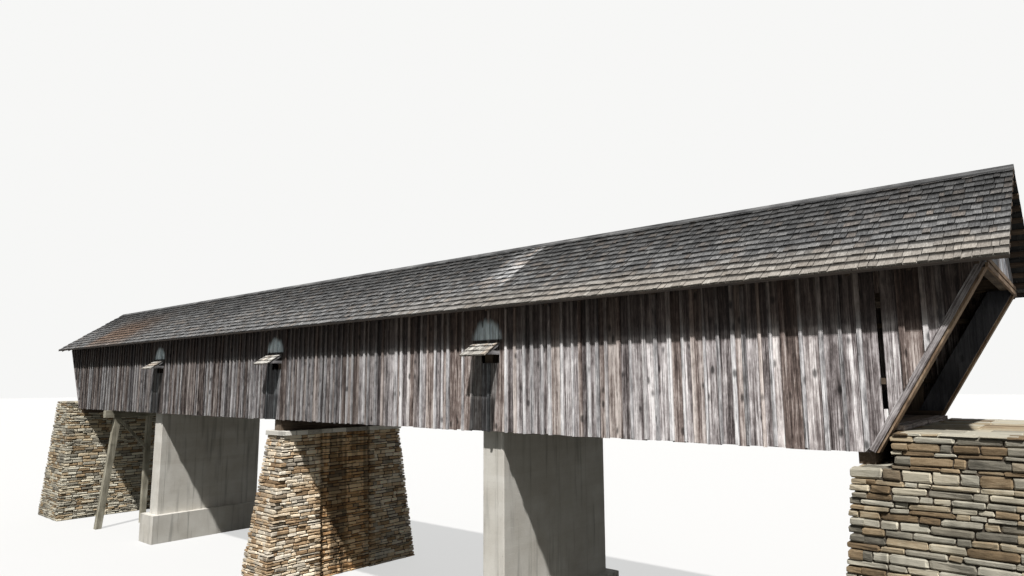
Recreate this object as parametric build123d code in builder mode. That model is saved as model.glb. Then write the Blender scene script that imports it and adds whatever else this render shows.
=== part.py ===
"""Old timber covered bridge on a rubble pier, two later concrete piers and rubble abutments.

The frame is X along the bridge, Y across it with the sunny side at -Y, and Z up from the low water line.
The origin is the middle of the bridge at the foot of the centre pier. All sizes are millimetres.
"""
from build123d import *
import os
from math import cos, radians, sin, tan

# Overall sizes
ROOF_LENGTH = 39930
WALL_WIDTH = 4880
SIDING_FOOT = 5200
WALL_RISE = 3220
PIER_SPACING = 9370

# Roof
ROOF_PITCH = 34.2
EAVE_OVERHANG = 530
SHINGLE_THICK = 35
LATH_THICK = 30
LATH_WIDE = 100
LATH_COUNT = 12
RAFTER_DEEP = 120
RAFTER_WIDE = 60
RAFTER_NOTCH = 60
RAFTER_PAIRS = 45
TAIL_DEEP = 60
TAIL_SETBACK = 60
RIDGE_BOARD_WIDE = 180
RIDGE_BOARD_THICK = 25

# Walls and their slanted ends
SIDING_THICK = 25
GIRT_THICK = 65
GIRT_HIGH = 100
LOW_GIRT_RISE = 400
MIDDLE_GIRT_RISE = 1100
HIGH_GIRT_RISE = 2350
GABLE_SETBACK = 350
PORTAL_DROP = 40
RAKE_RUN = 1705
RAKE_STUD_THICK = 100
RAKE_PLANK_THICK = 40
RAKE_PLANK_WIDE = 250
RAKE_LINING_THICK = 40
RAKE_LINING_WIDE = 380
GABLE_BOARD_THICK = 25
HEADER_HIGH = 75
HEADER_GAP = 40
HEADER_THICK = 40
HEADER_LAP = 30
SLIT_WIDE = 70
SLIT_INSET = 200
SLIT_FOOT_RISE = 700
SLIT_HIGH = 1900

# Trusses
TRUSS_THICK = 200
CHORD_HIGH = 300
PLATE_HIGH = 250
POST_WIDE = 250
BRACE_DEEP = 220
PANELS_PER_SPAN = 3
END_POST_INSET = 160
TIE_BEAM_WIDE = 180
TIE_BEAM_HIGH = 200

# Floor
FLOOR_BEAM_HIGH = 230
FLOOR_BEAM_WIDE = 200
BEAM_BAYS_PER_SPAN = 6
STRINGER_HIGH = 125
STRINGER_WIDE = 100
STRINGER_LINES = 5
STRINGER_INSET = 200
DECK_THICK = 75
DECK_LAP = 100

# Hooded slots high in both walls, each slot off the middle of its hood
HOOD_XS = (-9080, -180, 9400)
SLOT_SHIFT = 100
SLOT_WIDE = 560
SLOT_HIGH = 220
SLOT_FOOT_RISE = 1630
HOOD_WIDE = 830
HOOD_RISE = 2180
HOOD_REACH = 540
HOOD_SLOPE = 32
HOOD_THICK = 45
BRACKET_THICK = 30
BRACKET_INSET = 15
BRACKET_ARM_RISE = 1830
BRACKET_ARM_HIGH = 90
BRACKET_RAIL_HIGH = 55

# Centre pier of rubble, with a wider nose at each end
PIER_TOP_WIDE = 1040
PIER_TOP_LONG = 4900
PIER_SIDE_BATTER = 0.05
PIER_END_BATTER = 0.14
PIER_NOSE_START = 1000
PIER_NOSE_PROUD = 100
PIER_CAP_HIGH = 150
PIER_CAP_LAP = 30
BEARING_BEAM_HIGH = 360
BEARING_BEAM_WIDE = 380

# Concrete piers
CONCRETE_WIDE = 680
CONCRETE_LONG = 4400
CONCRETE_CHAMFER = 25
FOOTING_HIGH = 1100
FOOTING_LAP = 260

# Abutments of rubble
ABUTMENT_LAP = 410
ABUTMENT_BATTER = 0.08
SHELF_LEDGE = 150
BACK_WALL_GAP = 35
SILL_HIGH = 200
SILL_WIDE = 250

# Timber bent in the left shore span
BENT_OFFSHORE = 3700
BENT_CAP_HIGH = 320
BENT_CAP_LAP = 260
BENT_CAP_WIDE = 280
BENT_POST = 250
BENT_POST_LEAN = 0.1
BENT_INNER_POST = 220
BENT_INNER_Y = 760
BENT_BRACE_DEEP = 170
BENT_BRACE_THICK = 60
BENT_BRACE_DROP = 1750

# Levels, from the floor beams up to the ridge
SLOPE = tan(radians(ROOF_PITCH))
UPRIGHT = 1 / cos(radians(ROOF_PITCH))
WALL_Y = WALL_WIDTH / 2
EAVE_Y = WALL_Y + EAVE_OVERHANG
GIRT_Y = WALL_Y - SIDING_THICK
TRUSS_Y = GIRT_Y - GIRT_THICK
TRUSS_INNER_Y = TRUSS_Y - TRUSS_THICK
BEAM_TOP = SIDING_FOOT + FLOOR_BEAM_HIGH
CHORD_TOP = BEAM_TOP + CHORD_HIGH
DECK_FOOT = BEAM_TOP + STRINGER_HIGH
PLATE_TOP = SIDING_FOOT + WALL_RISE
PLATE_FOOT = PLATE_TOP - PLATE_HIGH
LATH_DROP = SHINGLE_THICK * UPRIGHT
RAFTER_DROP = LATH_DROP + LATH_THICK * UPRIGHT
RAFTER_FOOT_DROP = RAFTER_DROP + RAFTER_DEEP * UPRIGHT
ROOF_APEX = PLATE_TOP - RAFTER_NOTCH + SLOPE * TRUSS_Y + RAFTER_FOOT_DROP
SIDING_TOP = ROOF_APEX - RAFTER_FOOT_DROP - SLOPE * WALL_Y

# Lengths, from the roof's end in to the posts over the abutments
HALF_LENGTH = ROOF_LENGTH / 2
GABLE_X = HALF_LENGTH - GABLE_SETBACK
PLATE_END_X = GABLE_X - GABLE_BOARD_THICK
RAKE_FOOT_X = GABLE_X - RAKE_RUN
RAKE_TOP = PLATE_FOOT - PORTAL_DROP
RAKE_LEAN = RAKE_RUN / (RAKE_TOP - SIDING_FOOT)
RAKE_ACROSS = (1 + RAKE_LEAN**2) ** 0.5
HEADER_FOOT = RAKE_TOP - HEADER_LAP - HEADER_THICK
END_POST_X = RAKE_FOOT_X - END_POST_INSET
ABUTMENT_FACE_X = END_POST_X - SHELF_LEDGE
SHELF_TOP = SIDING_FOOT - SILL_HIGH
BENT_X = BENT_OFFSHORE - ABUTMENT_FACE_X
PANEL = PIER_SPACING / PANELS_PER_SPAN
SHORE_PANEL = (END_POST_X - PIER_SPACING) / PANELS_PER_SPAN
POST_XS = [n * PANEL for n in range(1, PANELS_PER_SPAN + 1)]
POST_XS += [PIER_SPACING + n * SHORE_PANEL for n in range(1, PANELS_PER_SPAN + 1)]

# Slots and hoods
SLOT_MID = SIDING_FOOT + SLOT_FOOT_RISE + SLOT_HIGH / 2
HOOD_FALL = tan(radians(HOOD_SLOPE))
HOOD_DROP = HOOD_THICK / cos(radians(HOOD_SLOPE))
HOOD_TOP = SIDING_FOOT + HOOD_RISE

os.makedirs("parts", exist_ok=True)


def save(builder, name):
    """Label a finished piece and write it as its own file."""
    builder.part.label = name
    export_step(builder.part, f"parts/{name}.step")


def rake_x(z):
    """Where the slanted cut at the right end of a wall stands at height z."""
    return RAKE_FOOT_X + (z - SIDING_FOOT) * RAKE_LEAN


def rake_z(x):
    """The height at which the slanted cut passes x."""
    return SIDING_FOOT + (x - RAKE_FOOT_X) / RAKE_LEAN


def roof_z(y, drop=0.0):
    """Height of a plane parallel to the roof, a plumb drop below the top of the shingles."""
    return ROOF_APEX - drop - SLOPE * abs(y)


def hood_reach(z, drop=0.0):
    """How far from the wall a plane at a plumb drop below the hood's top passes height z."""
    return (HOOD_TOP - drop - z) / HOOD_FALL


def across(y_a, y_b):
    """The plane at the lower y of a piece drawn along the bridge, and how thick it is."""
    return Plane.XZ.offset(-max(y_a, y_b)), abs(y_b - y_a)


# Rubble centre pier with its cap and bearing beam
cap_foot = SIDING_FOOT - BEARING_BEAM_HIGH - PIER_CAP_HIGH


def pier_outline(level, lap=0.0):
    """The pier's plan at a level: a body between two wider noses."""
    wide = PIER_TOP_WIDE + 2 * lap + 2 * (cap_foot - level) * PIER_SIDE_BATTER
    half_long = PIER_TOP_LONG / 2 + lap + (cap_foot - level) * PIER_END_BATTER
    nose_long = half_long - PIER_NOSE_START
    Rectangle(wide - 2 * PIER_NOSE_PROUD, 2 * half_long)
    with Locations((0, nose_long / 2 - half_long), (0, half_long - nose_long / 2)):
        Rectangle(wide, nose_long)


with BuildPart() as stone_pier:
    with BuildSketch(Plane.XY):
        pier_outline(0)
    with BuildSketch(Plane.XY.offset(cap_foot)):
        pier_outline(cap_foot)
    loft()
save(stone_pier, "stone_pier")

with BuildPart() as stone_pier_cap:
    with BuildSketch(Plane.XY.offset(cap_foot)):
        pier_outline(cap_foot, PIER_CAP_LAP)
    extrude(amount=PIER_CAP_HIGH)
save(stone_pier_cap, "stone_pier_cap")

with BuildPart() as pier_bearing_beam:
    with BuildSketch(Plane.XY.offset(cap_foot + PIER_CAP_HIGH)):
        Rectangle(BEARING_BEAM_WIDE, 2 * TRUSS_Y)
    extrude(amount=BEARING_BEAM_HIGH)
save(pier_bearing_beam, "pier_bearing_beam")

# Concrete piers on wider footings
with BuildPart() as concrete_piers:
    with BuildSketch(Plane.XY.offset(FOOTING_HIGH)):
        with Locations((-PIER_SPACING, 0), (PIER_SPACING, 0)):
            Rectangle(CONCRETE_WIDE, CONCRETE_LONG)
    extrude(amount=SIDING_FOOT - FOOTING_HIGH)
    chamfer(concrete_piers.edges().filter_by(Axis.Z), CONCRETE_CHAMFER)
save(concrete_piers, "concrete_piers")

with BuildPart() as concrete_footings:
    with BuildSketch(Plane.XY):
        with Locations((-PIER_SPACING, 0), (PIER_SPACING, 0)):
            Rectangle(CONCRETE_WIDE + 2 * FOOTING_LAP, CONCRETE_LONG + 2 * FOOTING_LAP)
    extrude(amount=FOOTING_HIGH)
save(concrete_footings, "concrete_footings")

# Abutments: a battered block with a shelf for the sill and a back wall up to the road
plank_run = RAKE_PLANK_THICK * RAKE_ACROSS
back_wall_x = rake_x(DECK_FOOT) + plank_run + BACK_WALL_GAP
abutment_wide = WALL_WIDTH + 2 * ABUTMENT_LAP


def abutment_outline(level, turn):
    """The abutment's plan at a level, its river face leaning back as it rises."""
    face = ABUTMENT_FACE_X + (level - SHELF_TOP) * ABUTMENT_BATTER
    with Locations((turn * (face + HALF_LENGTH) / 2, 0)):
        Rectangle(HALF_LENGTH - face, abutment_wide + 2 * (DECK_FOOT - level) * ABUTMENT_BATTER)


for side, turn in (("left", -1), ("right", 1)):
    with BuildPart() as abutment:
        with BuildSketch(Plane.XY):
            abutment_outline(0, turn)
        with BuildSketch(Plane.XY.offset(DECK_FOOT)):
            abutment_outline(DECK_FOOT, turn)
        loft()
        with BuildSketch(Plane.XY.offset(SHELF_TOP)):
            with Locations((turn * back_wall_x / 2, 0)):
                Rectangle(back_wall_x, 2 * abutment_wide)
        extrude(amount=DECK_FOOT, mode=Mode.SUBTRACT)
    save(abutment, f"abutment_{side}")

with BuildPart() as abutment_sills:
    with BuildSketch(Plane.XY.offset(SHELF_TOP)):
        with Locations((-END_POST_X, 0), (END_POST_X, 0)):
            Rectangle(SILL_WIDE, 2 * TRUSS_Y)
    extrude(amount=SILL_HIGH)
save(abutment_sills, "abutment_sills")

# Timber bent
bent_cap_foot = SIDING_FOOT - BENT_CAP_HIGH
bent_face_x = BENT_X + BENT_POST / 2
outer_post_y = TRUSS_INNER_Y + BENT_POST / 2
inner_post_y = BENT_INNER_Y - BENT_INNER_POST / 2
with BuildPart() as bent_cap:
    with BuildSketch(Plane.XY.offset(bent_cap_foot)):
        with Locations((BENT_X, 0)):
            Rectangle(BENT_CAP_WIDE, WALL_WIDTH + 2 * BENT_CAP_LAP)
    extrude(amount=BENT_CAP_HIGH)
save(bent_cap, "bent_cap")

with BuildPart() as bent_posts:
    for turn in (-1, 1):
        spread = bent_cap_foot * BENT_POST_LEAN
        with BuildSketch(Plane.YZ.offset(bent_face_x - BENT_POST)):
            with BuildLine():
                Polyline(
                    (turn * (outer_post_y - BENT_POST), bent_cap_foot),
                    (turn * outer_post_y, bent_cap_foot),
                    (turn * (outer_post_y + spread), 0),
                    (turn * (outer_post_y + spread - BENT_POST), 0),
                    close=True,
                )
            make_face()
        extrude(amount=BENT_POST)
    with BuildSketch(Plane.XY):
        inner_x = bent_face_x - BENT_INNER_POST / 2
        with Locations((inner_x, -BENT_INNER_Y), (inner_x, BENT_INNER_Y)):
            Rectangle(BENT_INNER_POST, BENT_INNER_POST)
    extrude(amount=bent_cap_foot)
save(bent_posts, "bent_posts")

with BuildPart() as bent_braces:
    brace_foot = bent_cap_foot - BENT_BRACE_DROP
    for turn in (-1, 1):
        with BuildSketch(Plane.YZ.offset(bent_face_x)):
            with BuildLine():
                Polyline(
                    (turn * outer_post_y, bent_cap_foot),
                    (turn * inner_post_y, brace_foot),
                    (turn * inner_post_y, brace_foot + BENT_BRACE_DEEP),
                    (turn * (outer_post_y - BENT_BRACE_DEEP), bent_cap_foot),
                    close=True,
                )
            make_face()
        extrude(amount=BENT_BRACE_THICK)
save(bent_braces, "bent_braces")

# Floor beams, stringers and deck
river_pitch = PIER_SPACING / BEAM_BAYS_PER_SPAN
shore_pitch = (END_POST_X - PIER_SPACING) / BEAM_BAYS_PER_SPAN
beam_xs = [n * river_pitch for n in range(1, BEAM_BAYS_PER_SPAN + 1)]
beam_xs += [PIER_SPACING + n * shore_pitch for n in range(1, BEAM_BAYS_PER_SPAN + 1)]
with BuildPart() as floor_beams:
    with BuildSketch(Plane.XY.offset(SIDING_FOOT)):
        with Locations((BENT_X, 0), (0, 0), *[(turn * x, 0) for x in beam_xs for turn in (-1, 1)]):
            Rectangle(FLOOR_BEAM_WIDE, 2 * TRUSS_Y)
    extrude(amount=FLOOR_BEAM_HIGH)
save(floor_beams, "floor_beams")

with BuildPart() as stringers:
    with BuildSketch(Plane.XY.offset(BEAM_TOP)):
        stringer_pitch = 2 * (TRUSS_INNER_Y - STRINGER_INSET) / (STRINGER_LINES - 1)
        with GridLocations(0, stringer_pitch, 1, STRINGER_LINES):
            Rectangle(2 * END_POST_X + FLOOR_BEAM_WIDE, STRINGER_WIDE)
    extrude(amount=STRINGER_HIGH)
save(stringers, "stringers")

with BuildPart() as deck:
    with BuildSketch(Plane.XY.offset(DECK_FOOT)):
        Rectangle(2 * (back_wall_x + DECK_LAP), 2 * TRUSS_INNER_Y)
    extrude(amount=DECK_THICK)
save(deck, "deck")

# Trusses: the same frame stands inside both walls
window_high = PLATE_FOOT - CHORD_TOP
window_mid = (PLATE_FOOT + CHORD_TOP) / 2
queen_in = POST_XS[PANELS_PER_SPAN - 2]
queen_out = POST_XS[PANELS_PER_SPAN]
half_post = POST_WIDE / 2
for side, turn in (("near", -1), ("far", 1)):
    plane, thick = across(turn * TRUSS_INNER_Y, turn * TRUSS_Y)
    with BuildPart() as bottom_chord:
        with BuildSketch(plane):
            with BuildLine():
                Polyline(
                    (-rake_x(BEAM_TOP), BEAM_TOP),
                    (rake_x(BEAM_TOP), BEAM_TOP),
                    (rake_x(CHORD_TOP), CHORD_TOP),
                    (-rake_x(CHORD_TOP), CHORD_TOP),
                    close=True,
                )
            make_face()
        extrude(amount=thick)
    save(bottom_chord, f"{side}_bottom_chord")

    with BuildPart() as wall_plate:
        with BuildSketch(plane):
            with Locations((0, PLATE_FOOT + PLATE_HIGH / 2)):
                Rectangle(2 * PLATE_END_X, PLATE_HIGH)
        extrude(amount=thick)
    save(wall_plate, f"{side}_wall_plate")

    # Each brace leans in a window between two posts: foot x, head x
    brace_ends = (
        (half_post, queen_in - half_post),
        (queen_in + half_post, PIER_SPACING - half_post),
        (queen_out - half_post, PIER_SPACING + half_post),
        (END_POST_X - half_post, queen_out + half_post),
    )
    with BuildPart() as truss_braces:
        for foot, head in brace_ends:
            run = abs(head - foot)
            lap_x = BRACE_DEEP * (run**2 + window_high**2) ** 0.5 / window_high / 2
            toward = 1 if head > foot else -1
            with BuildSketch(plane):
                with BuildLine():
                    Polyline(
                        (foot - toward * lap_x, CHORD_TOP),
                        (foot + toward * lap_x, CHORD_TOP),
                        (head + toward * lap_x, PLATE_FOOT),
                        (head - toward * lap_x, PLATE_FOOT),
                        close=True,
                    )
                make_face()
                with Locations(((foot + head) / 2, window_mid)):
                    Rectangle(run, window_high, mode=Mode.INTERSECT)
            extrude(amount=thick)
        mirror(about=Plane.YZ)
    save(truss_braces, f"{side}_truss_braces")

    with BuildPart() as truss_posts:
        with BuildSketch(plane):
            with Locations((0, window_mid), *[(end * x, window_mid) for x in POST_XS for end in (-1, 1)]):
                Rectangle(POST_WIDE, window_high)
        extrude(amount=thick)
        add(truss_braces.part, mode=Mode.SUBTRACT)
    save(truss_posts, f"{side}_truss_posts")

# Tie beams between the wall plates, over the posts and at the portals
with BuildPart() as tie_beams:
    tie_xs = [*POST_XS, PLATE_END_X - TIE_BEAM_WIDE / 2]
    with BuildSketch(Plane.XY.offset(PLATE_FOOT)):
        with Locations((0, 0), *[(turn * x, 0) for x in tie_xs for turn in (-1, 1)]):
            Rectangle(TIE_BEAM_WIDE, 2 * TRUSS_INNER_Y)
    extrude(amount=TIE_BEAM_HIGH)
save(tie_beams, "tie_beams")

# Slanted studs at the wall ends, lined with planks inside and closed by planks outside
stud_run = RAKE_STUD_THICK * RAKE_ACROSS
lining_run = RAKE_LINING_WIDE * RAKE_ACROSS
with BuildPart() as rake_studs:
    for turn in (-1, 1):
        plane, thick = across(turn * TRUSS_INNER_Y, turn * GIRT_Y)
        with BuildSketch(plane):
            with BuildLine():
                Polyline(
                    (rake_x(CHORD_TOP) - stud_run, CHORD_TOP),
                    (rake_x(CHORD_TOP), CHORD_TOP),
                    (PLATE_END_X, rake_z(PLATE_END_X)),
                    (PLATE_END_X, PLATE_FOOT),
                    (rake_x(PLATE_FOOT) - stud_run, PLATE_FOOT),
                    close=True,
                )
            make_face()
        extrude(amount=thick)
    mirror(about=Plane.YZ)
save(rake_studs, "rake_studs")

with BuildPart() as rake_linings:
    for turn in (-1, 1):
        plane, thick = across(turn * (TRUSS_INNER_Y - RAKE_LINING_THICK), turn * TRUSS_INNER_Y)
        with BuildSketch(plane):
            with BuildLine():
                Polyline(
                    (rake_x(CHORD_TOP) - lining_run, CHORD_TOP),
                    (rake_x(CHORD_TOP), CHORD_TOP),
                    (PLATE_END_X, rake_z(PLATE_END_X)),
                    (PLATE_END_X, PLATE_FOOT),
                    (rake_x(PLATE_FOOT) - lining_run, PLATE_FOOT),
                    close=True,
                )
            make_face()
        extrude(amount=thick)
    mirror(about=Plane.YZ)
save(rake_linings, "rake_linings")

with BuildPart() as raking_planks:
    for turn in (-1, 1):
        plane, thick = across(turn * (WALL_Y - RAKE_PLANK_WIDE), turn * WALL_Y)
        with BuildSketch(plane):
            with BuildLine():
                Polyline(
                    (rake_x(SIDING_FOOT), SIDING_FOOT),
                    (rake_x(SIDING_FOOT) + plank_run, SIDING_FOOT),
                    (rake_x(HEADER_FOOT) + plank_run, HEADER_FOOT),
                    (rake_x(HEADER_FOOT), HEADER_FOOT),
                    close=True,
                )
            make_face()
        extrude(amount=thick)
    mirror(about=Plane.YZ)
save(raking_planks, "raking_planks")

# Girts along the trusses, and the board siding outside them
with BuildPart() as girts:
    for turn in (-1, 1):
        plane, thick = across(turn * TRUSS_Y, turn * GIRT_Y)
        for rise in (LOW_GIRT_RISE, MIDDLE_GIRT_RISE, HIGH_GIRT_RISE):
            low = SIDING_FOOT + rise
            high = low + GIRT_HIGH
            clear = stud_run if high > CHORD_TOP else 0
            with BuildSketch(plane):
                with BuildLine():
                    Polyline(
                        (-rake_x(low) + clear, low),
                        (rake_x(low) - clear, low),
                        (rake_x(high) - clear, high),
                        (-rake_x(high) + clear, high),
                        close=True,
                    )
                make_face()
            extrude(amount=thick)
        with BuildSketch(plane):
            with Locations((0, PLATE_FOOT + GIRT_HIGH / 2)):
                Rectangle(2 * PLATE_END_X, GIRT_HIGH)
        extrude(amount=thick)
save(girts, "girts")

for side, turn in (("near", -1), ("far", 1)):
    plane, thick = across(turn * GIRT_Y, turn * WALL_Y)
    with BuildPart() as siding:
        with BuildSketch(plane):
            with BuildLine():
                Polyline(
                    (-RAKE_FOOT_X, SIDING_FOOT),
                    (RAKE_FOOT_X, SIDING_FOOT),
                    (GABLE_X, RAKE_TOP),
                    (GABLE_X, SIDING_TOP),
                    (-GABLE_X, SIDING_TOP),
                    (-GABLE_X, RAKE_TOP),
                    close=True,
                )
            make_face()
            with Locations(*[(x + SLOT_SHIFT, SLOT_MID) for x in HOOD_XS]):
                Rectangle(SLOT_WIDE, SLOT_HIGH, mode=Mode.SUBTRACT)
            # The long slit where a board of the sunny wall has gone
            if side == "near":
                with Locations((RAKE_FOOT_X + SLIT_INSET, SIDING_FOOT + SLIT_FOOT_RISE + SLIT_HIGH / 2)):
                    Rectangle(SLIT_WIDE, SLIT_HIGH, mode=Mode.SUBTRACT)
        extrude(amount=thick)
    save(siding, f"{side}_siding")

# Gable boards and two header planks over each portal
with BuildPart() as gable_siding:
    with BuildSketch(Plane.YZ.offset(PLATE_END_X)):
        with BuildLine():
            Polyline(
                (-GIRT_Y, RAKE_TOP - HEADER_LAP),
                (GIRT_Y, RAKE_TOP - HEADER_LAP),
                (GIRT_Y, roof_z(GIRT_Y, RAFTER_DROP)),
                (0, roof_z(0, RAFTER_DROP)),
                (-GIRT_Y, roof_z(GIRT_Y, RAFTER_DROP)),
                close=True,
            )
        make_face()
    extrude(amount=GABLE_BOARD_THICK)
    mirror(about=Plane.YZ)
save(gable_siding, "gable_siding")

with BuildPart() as portal_headers:
    with BuildSketch(Plane.YZ.offset(GABLE_X)):
        header_mid = HEADER_FOOT + HEADER_HIGH + HEADER_GAP / 2
        with Locations((0, header_mid)):
            with GridLocations(0, HEADER_HIGH + HEADER_GAP, 1, 2):
                Rectangle(WALL_WIDTH, HEADER_HIGH)
    extrude(amount=HEADER_THICK)
    mirror(about=Plane.YZ)
save(portal_headers, "portal_headers")

# Rafters, notched over the wall plates, then lath and shingles
first_rafter_x = PLATE_END_X - RAFTER_WIDE / 2
rafter_pitch = 2 * first_rafter_x / (RAFTER_PAIRS - 1)
rafter_xs = [-first_rafter_x + n * rafter_pitch for n in range(RAFTER_PAIRS)]
slope_long = EAVE_Y * UPRIGHT
tail_y = EAVE_Y - TAIL_SETBACK
lath_pitch = (slope_long - LATH_WIDE) / (LATH_COUNT - 1)
for side, turn in (("near", -1), ("far", 1)):
    with BuildPart() as rafters:
        for x in rafter_xs:
            with BuildSketch(Plane.YZ.offset(x - RAFTER_WIDE / 2)):
                with BuildLine():
                    Polyline(
                        (0, roof_z(0, RAFTER_DROP)),
                        (turn * tail_y, roof_z(tail_y, RAFTER_DROP)),
                        (turn * tail_y, roof_z(tail_y, RAFTER_DROP + TAIL_DEEP * UPRIGHT)),
                        (turn * WALL_Y, roof_z(WALL_Y, RAFTER_FOOT_DROP)),
                        (turn * TRUSS_Y, roof_z(TRUSS_Y, RAFTER_FOOT_DROP)),
                        (turn * TRUSS_Y, PLATE_TOP),
                        (turn * (ROOF_APEX - RAFTER_FOOT_DROP - PLATE_TOP) / SLOPE, PLATE_TOP),
                        (0, roof_z(0, RAFTER_FOOT_DROP)),
                        close=True,
                    )
                make_face()
            extrude(amount=RAFTER_WIDE)
    save(rafters, f"{side}_rafters")

    with BuildPart() as lath:
        for n in range(LATH_COUNT):
            low = n * lath_pitch / UPRIGHT
            high = low + LATH_WIDE / UPRIGHT
            with BuildSketch(Plane.YZ.offset(-HALF_LENGTH)):
                with BuildLine():
                    Polyline(
                        (turn * low, roof_z(low, LATH_DROP)),
                        (turn * high, roof_z(high, LATH_DROP)),
                        (turn * high, roof_z(high, RAFTER_DROP)),
                        (turn * low, roof_z(low, RAFTER_DROP)),
                        close=True,
                    )
                make_face()
            extrude(amount=ROOF_LENGTH)
    save(lath, f"{side}_lath")

    with BuildPart() as roof:
        with BuildSketch(Plane.YZ.offset(-HALF_LENGTH)):
            with BuildLine():
                Polyline(
                    (0, roof_z(0)),
                    (turn * EAVE_Y, roof_z(EAVE_Y)),
                    (turn * EAVE_Y, roof_z(EAVE_Y, LATH_DROP)),
                    (0, roof_z(0, LATH_DROP)),
                    close=True,
                )
            make_face()
        extrude(amount=ROOF_LENGTH)
    save(roof, f"{side}_roof")

# One ridge board a side, mitred together over the apex
board_up = RIDGE_BOARD_THICK * UPRIGHT
board_y = RIDGE_BOARD_WIDE / UPRIGHT
for side, turn in (("near", -1), ("far", 1)):
    with BuildPart() as ridge_board:
        with BuildSketch(Plane.YZ.offset(-HALF_LENGTH)):
            with BuildLine():
                Polyline(
                    (0, roof_z(0)),
                    (0, roof_z(0) + board_up),
                    (turn * board_y, roof_z(board_y) + board_up),
                    (turn * board_y, roof_z(board_y)),
                    close=True,
                )
            make_face()
        extrude(amount=ROOF_LENGTH)
    save(ridge_board, f"{side}_ridge_board")

# Shingled hoods over the slots, each on two brackets
with BuildPart() as hoods:
    drip_z = HOOD_TOP - HOOD_FALL * HOOD_REACH
    for x in HOOD_XS:
        for turn in (-1, 1):
            with BuildSketch(Plane.YZ.offset(x - HOOD_WIDE / 2)):
                with BuildLine():
                    Polyline(
                        (turn * WALL_Y, HOOD_TOP),
                        (turn * (WALL_Y + HOOD_REACH), drip_z),
                        (turn * (WALL_Y + HOOD_REACH), drip_z - HOOD_DROP),
                        (turn * WALL_Y, HOOD_TOP - HOOD_DROP),
                        close=True,
                    )
                make_face()
            extrude(amount=HOOD_WIDE)
save(hoods, "hoods")

# Each bracket is an arm and a rail that meet under the hood
with BuildPart() as hood_brackets:
    arm_foot = SIDING_FOOT + BRACKET_ARM_RISE
    arm_top = arm_foot + BRACKET_ARM_HIGH
    rail_drop = HOOD_DROP + BRACKET_RAIL_HIGH
    first = BRACKET_INSET - HOOD_WIDE / 2
    for x in HOOD_XS:
        for edge, turn in [(x + end, turn) for end in (first, -first - BRACKET_THICK) for turn in (-1, 1)]:
            with BuildSketch(Plane.YZ.offset(edge)):
                with BuildLine():
                    Polyline(
                        (turn * WALL_Y, arm_foot),
                        (turn * (WALL_Y + hood_reach(arm_foot, HOOD_DROP)), arm_foot),
                        (turn * WALL_Y, HOOD_TOP - HOOD_DROP),
                        (turn * WALL_Y, HOOD_TOP - rail_drop),
                        (turn * (WALL_Y + hood_reach(arm_top, rail_drop)), arm_top),
                        (turn * WALL_Y, arm_top),
                        close=True,
                    )
                make_face()
            extrude(amount=BRACKET_THICK)
save(hood_brackets, "hood_brackets")
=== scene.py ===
# %% [markdown]
# # An old timber covered bridge
# A covered bridge is a timber truss with a roof and board walls that keep the rain off it.
# This one stands on a pier and two abutments of flat rubble, on two later piers of cast concrete,
# and on a timber bent near one end. The frame of timbers is already made at its real size.
# The lesson dresses it with the small pieces that a builder nailed or laid one by one.

# %% Load the frame of timbers and masonry
import math
from collections import namedtuple

import bmesh
import bpy
import numpy as np
from mathutils import Matrix, Vector


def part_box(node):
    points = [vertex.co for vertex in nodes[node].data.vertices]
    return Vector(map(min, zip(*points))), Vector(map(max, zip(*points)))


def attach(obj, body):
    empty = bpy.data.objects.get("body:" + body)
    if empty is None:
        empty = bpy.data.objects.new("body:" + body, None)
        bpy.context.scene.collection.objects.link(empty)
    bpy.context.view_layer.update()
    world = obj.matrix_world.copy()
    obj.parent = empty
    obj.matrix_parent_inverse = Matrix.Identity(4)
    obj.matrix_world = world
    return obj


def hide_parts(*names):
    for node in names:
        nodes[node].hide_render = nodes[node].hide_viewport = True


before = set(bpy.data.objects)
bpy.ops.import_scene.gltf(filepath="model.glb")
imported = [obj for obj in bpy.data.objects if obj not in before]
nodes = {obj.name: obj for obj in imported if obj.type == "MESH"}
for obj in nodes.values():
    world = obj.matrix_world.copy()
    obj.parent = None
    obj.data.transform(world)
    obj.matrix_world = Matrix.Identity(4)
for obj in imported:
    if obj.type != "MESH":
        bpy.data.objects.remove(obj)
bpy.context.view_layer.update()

# %% [markdown]
# ## Sizes that come from the frame
# Every new piece has to sit where the frame says, so its sizes are read from the frame's boxes
# and corners. Only what the frame doesn't show by itself, such as how wide a board is, is named
# here as a value of its own. All lengths are metres, with X along the bridge and the sunny side at -Y.

# %% Read the walls, the roof and the hoods
HAIR = 1e-3


def corners(node):
    """The corner points of one node."""
    return [v.co for v in nodes[node].data.vertices]


wall_low, wall_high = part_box("near_siding")
WALL_Y, WALL_END = -wall_low.y, wall_high.x
WALL_FOOT, WALL_TOP = wall_low.z, wall_high.z
BOARD_THICK = wall_high.y - wall_low.y
RAKE_FOOT = max(c.x for c in corners("near_siding") if c.z < WALL_FOOT + HAIR)
RAKE_TOP = min(c.z for c in corners("near_siding") if c.x > WALL_END - HAIR)
RAKE_LEAN = (WALL_END - RAKE_FOOT) / (RAKE_TOP - WALL_FOOT)
roof_low, roof_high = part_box("near_roof")
ROOF_PITCH = math.radians(34.2)
SHINGLE_LAYER = 0.035
ROOF_END, EAVE_Y, ROOF_TOP = roof_high.x, -roof_low.y, roof_high.z
EAVE_LEVEL = ROOF_TOP - EAVE_Y * math.tan(ROOF_PITCH)
hood_low, hood_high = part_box("hoods")


def pairs(points):
    """The different x values of some points, from left to right, two by two."""
    xs = sorted({round(c.x, 3) for c in points})
    return list(zip(xs[::2], xs[1::2]))


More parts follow.
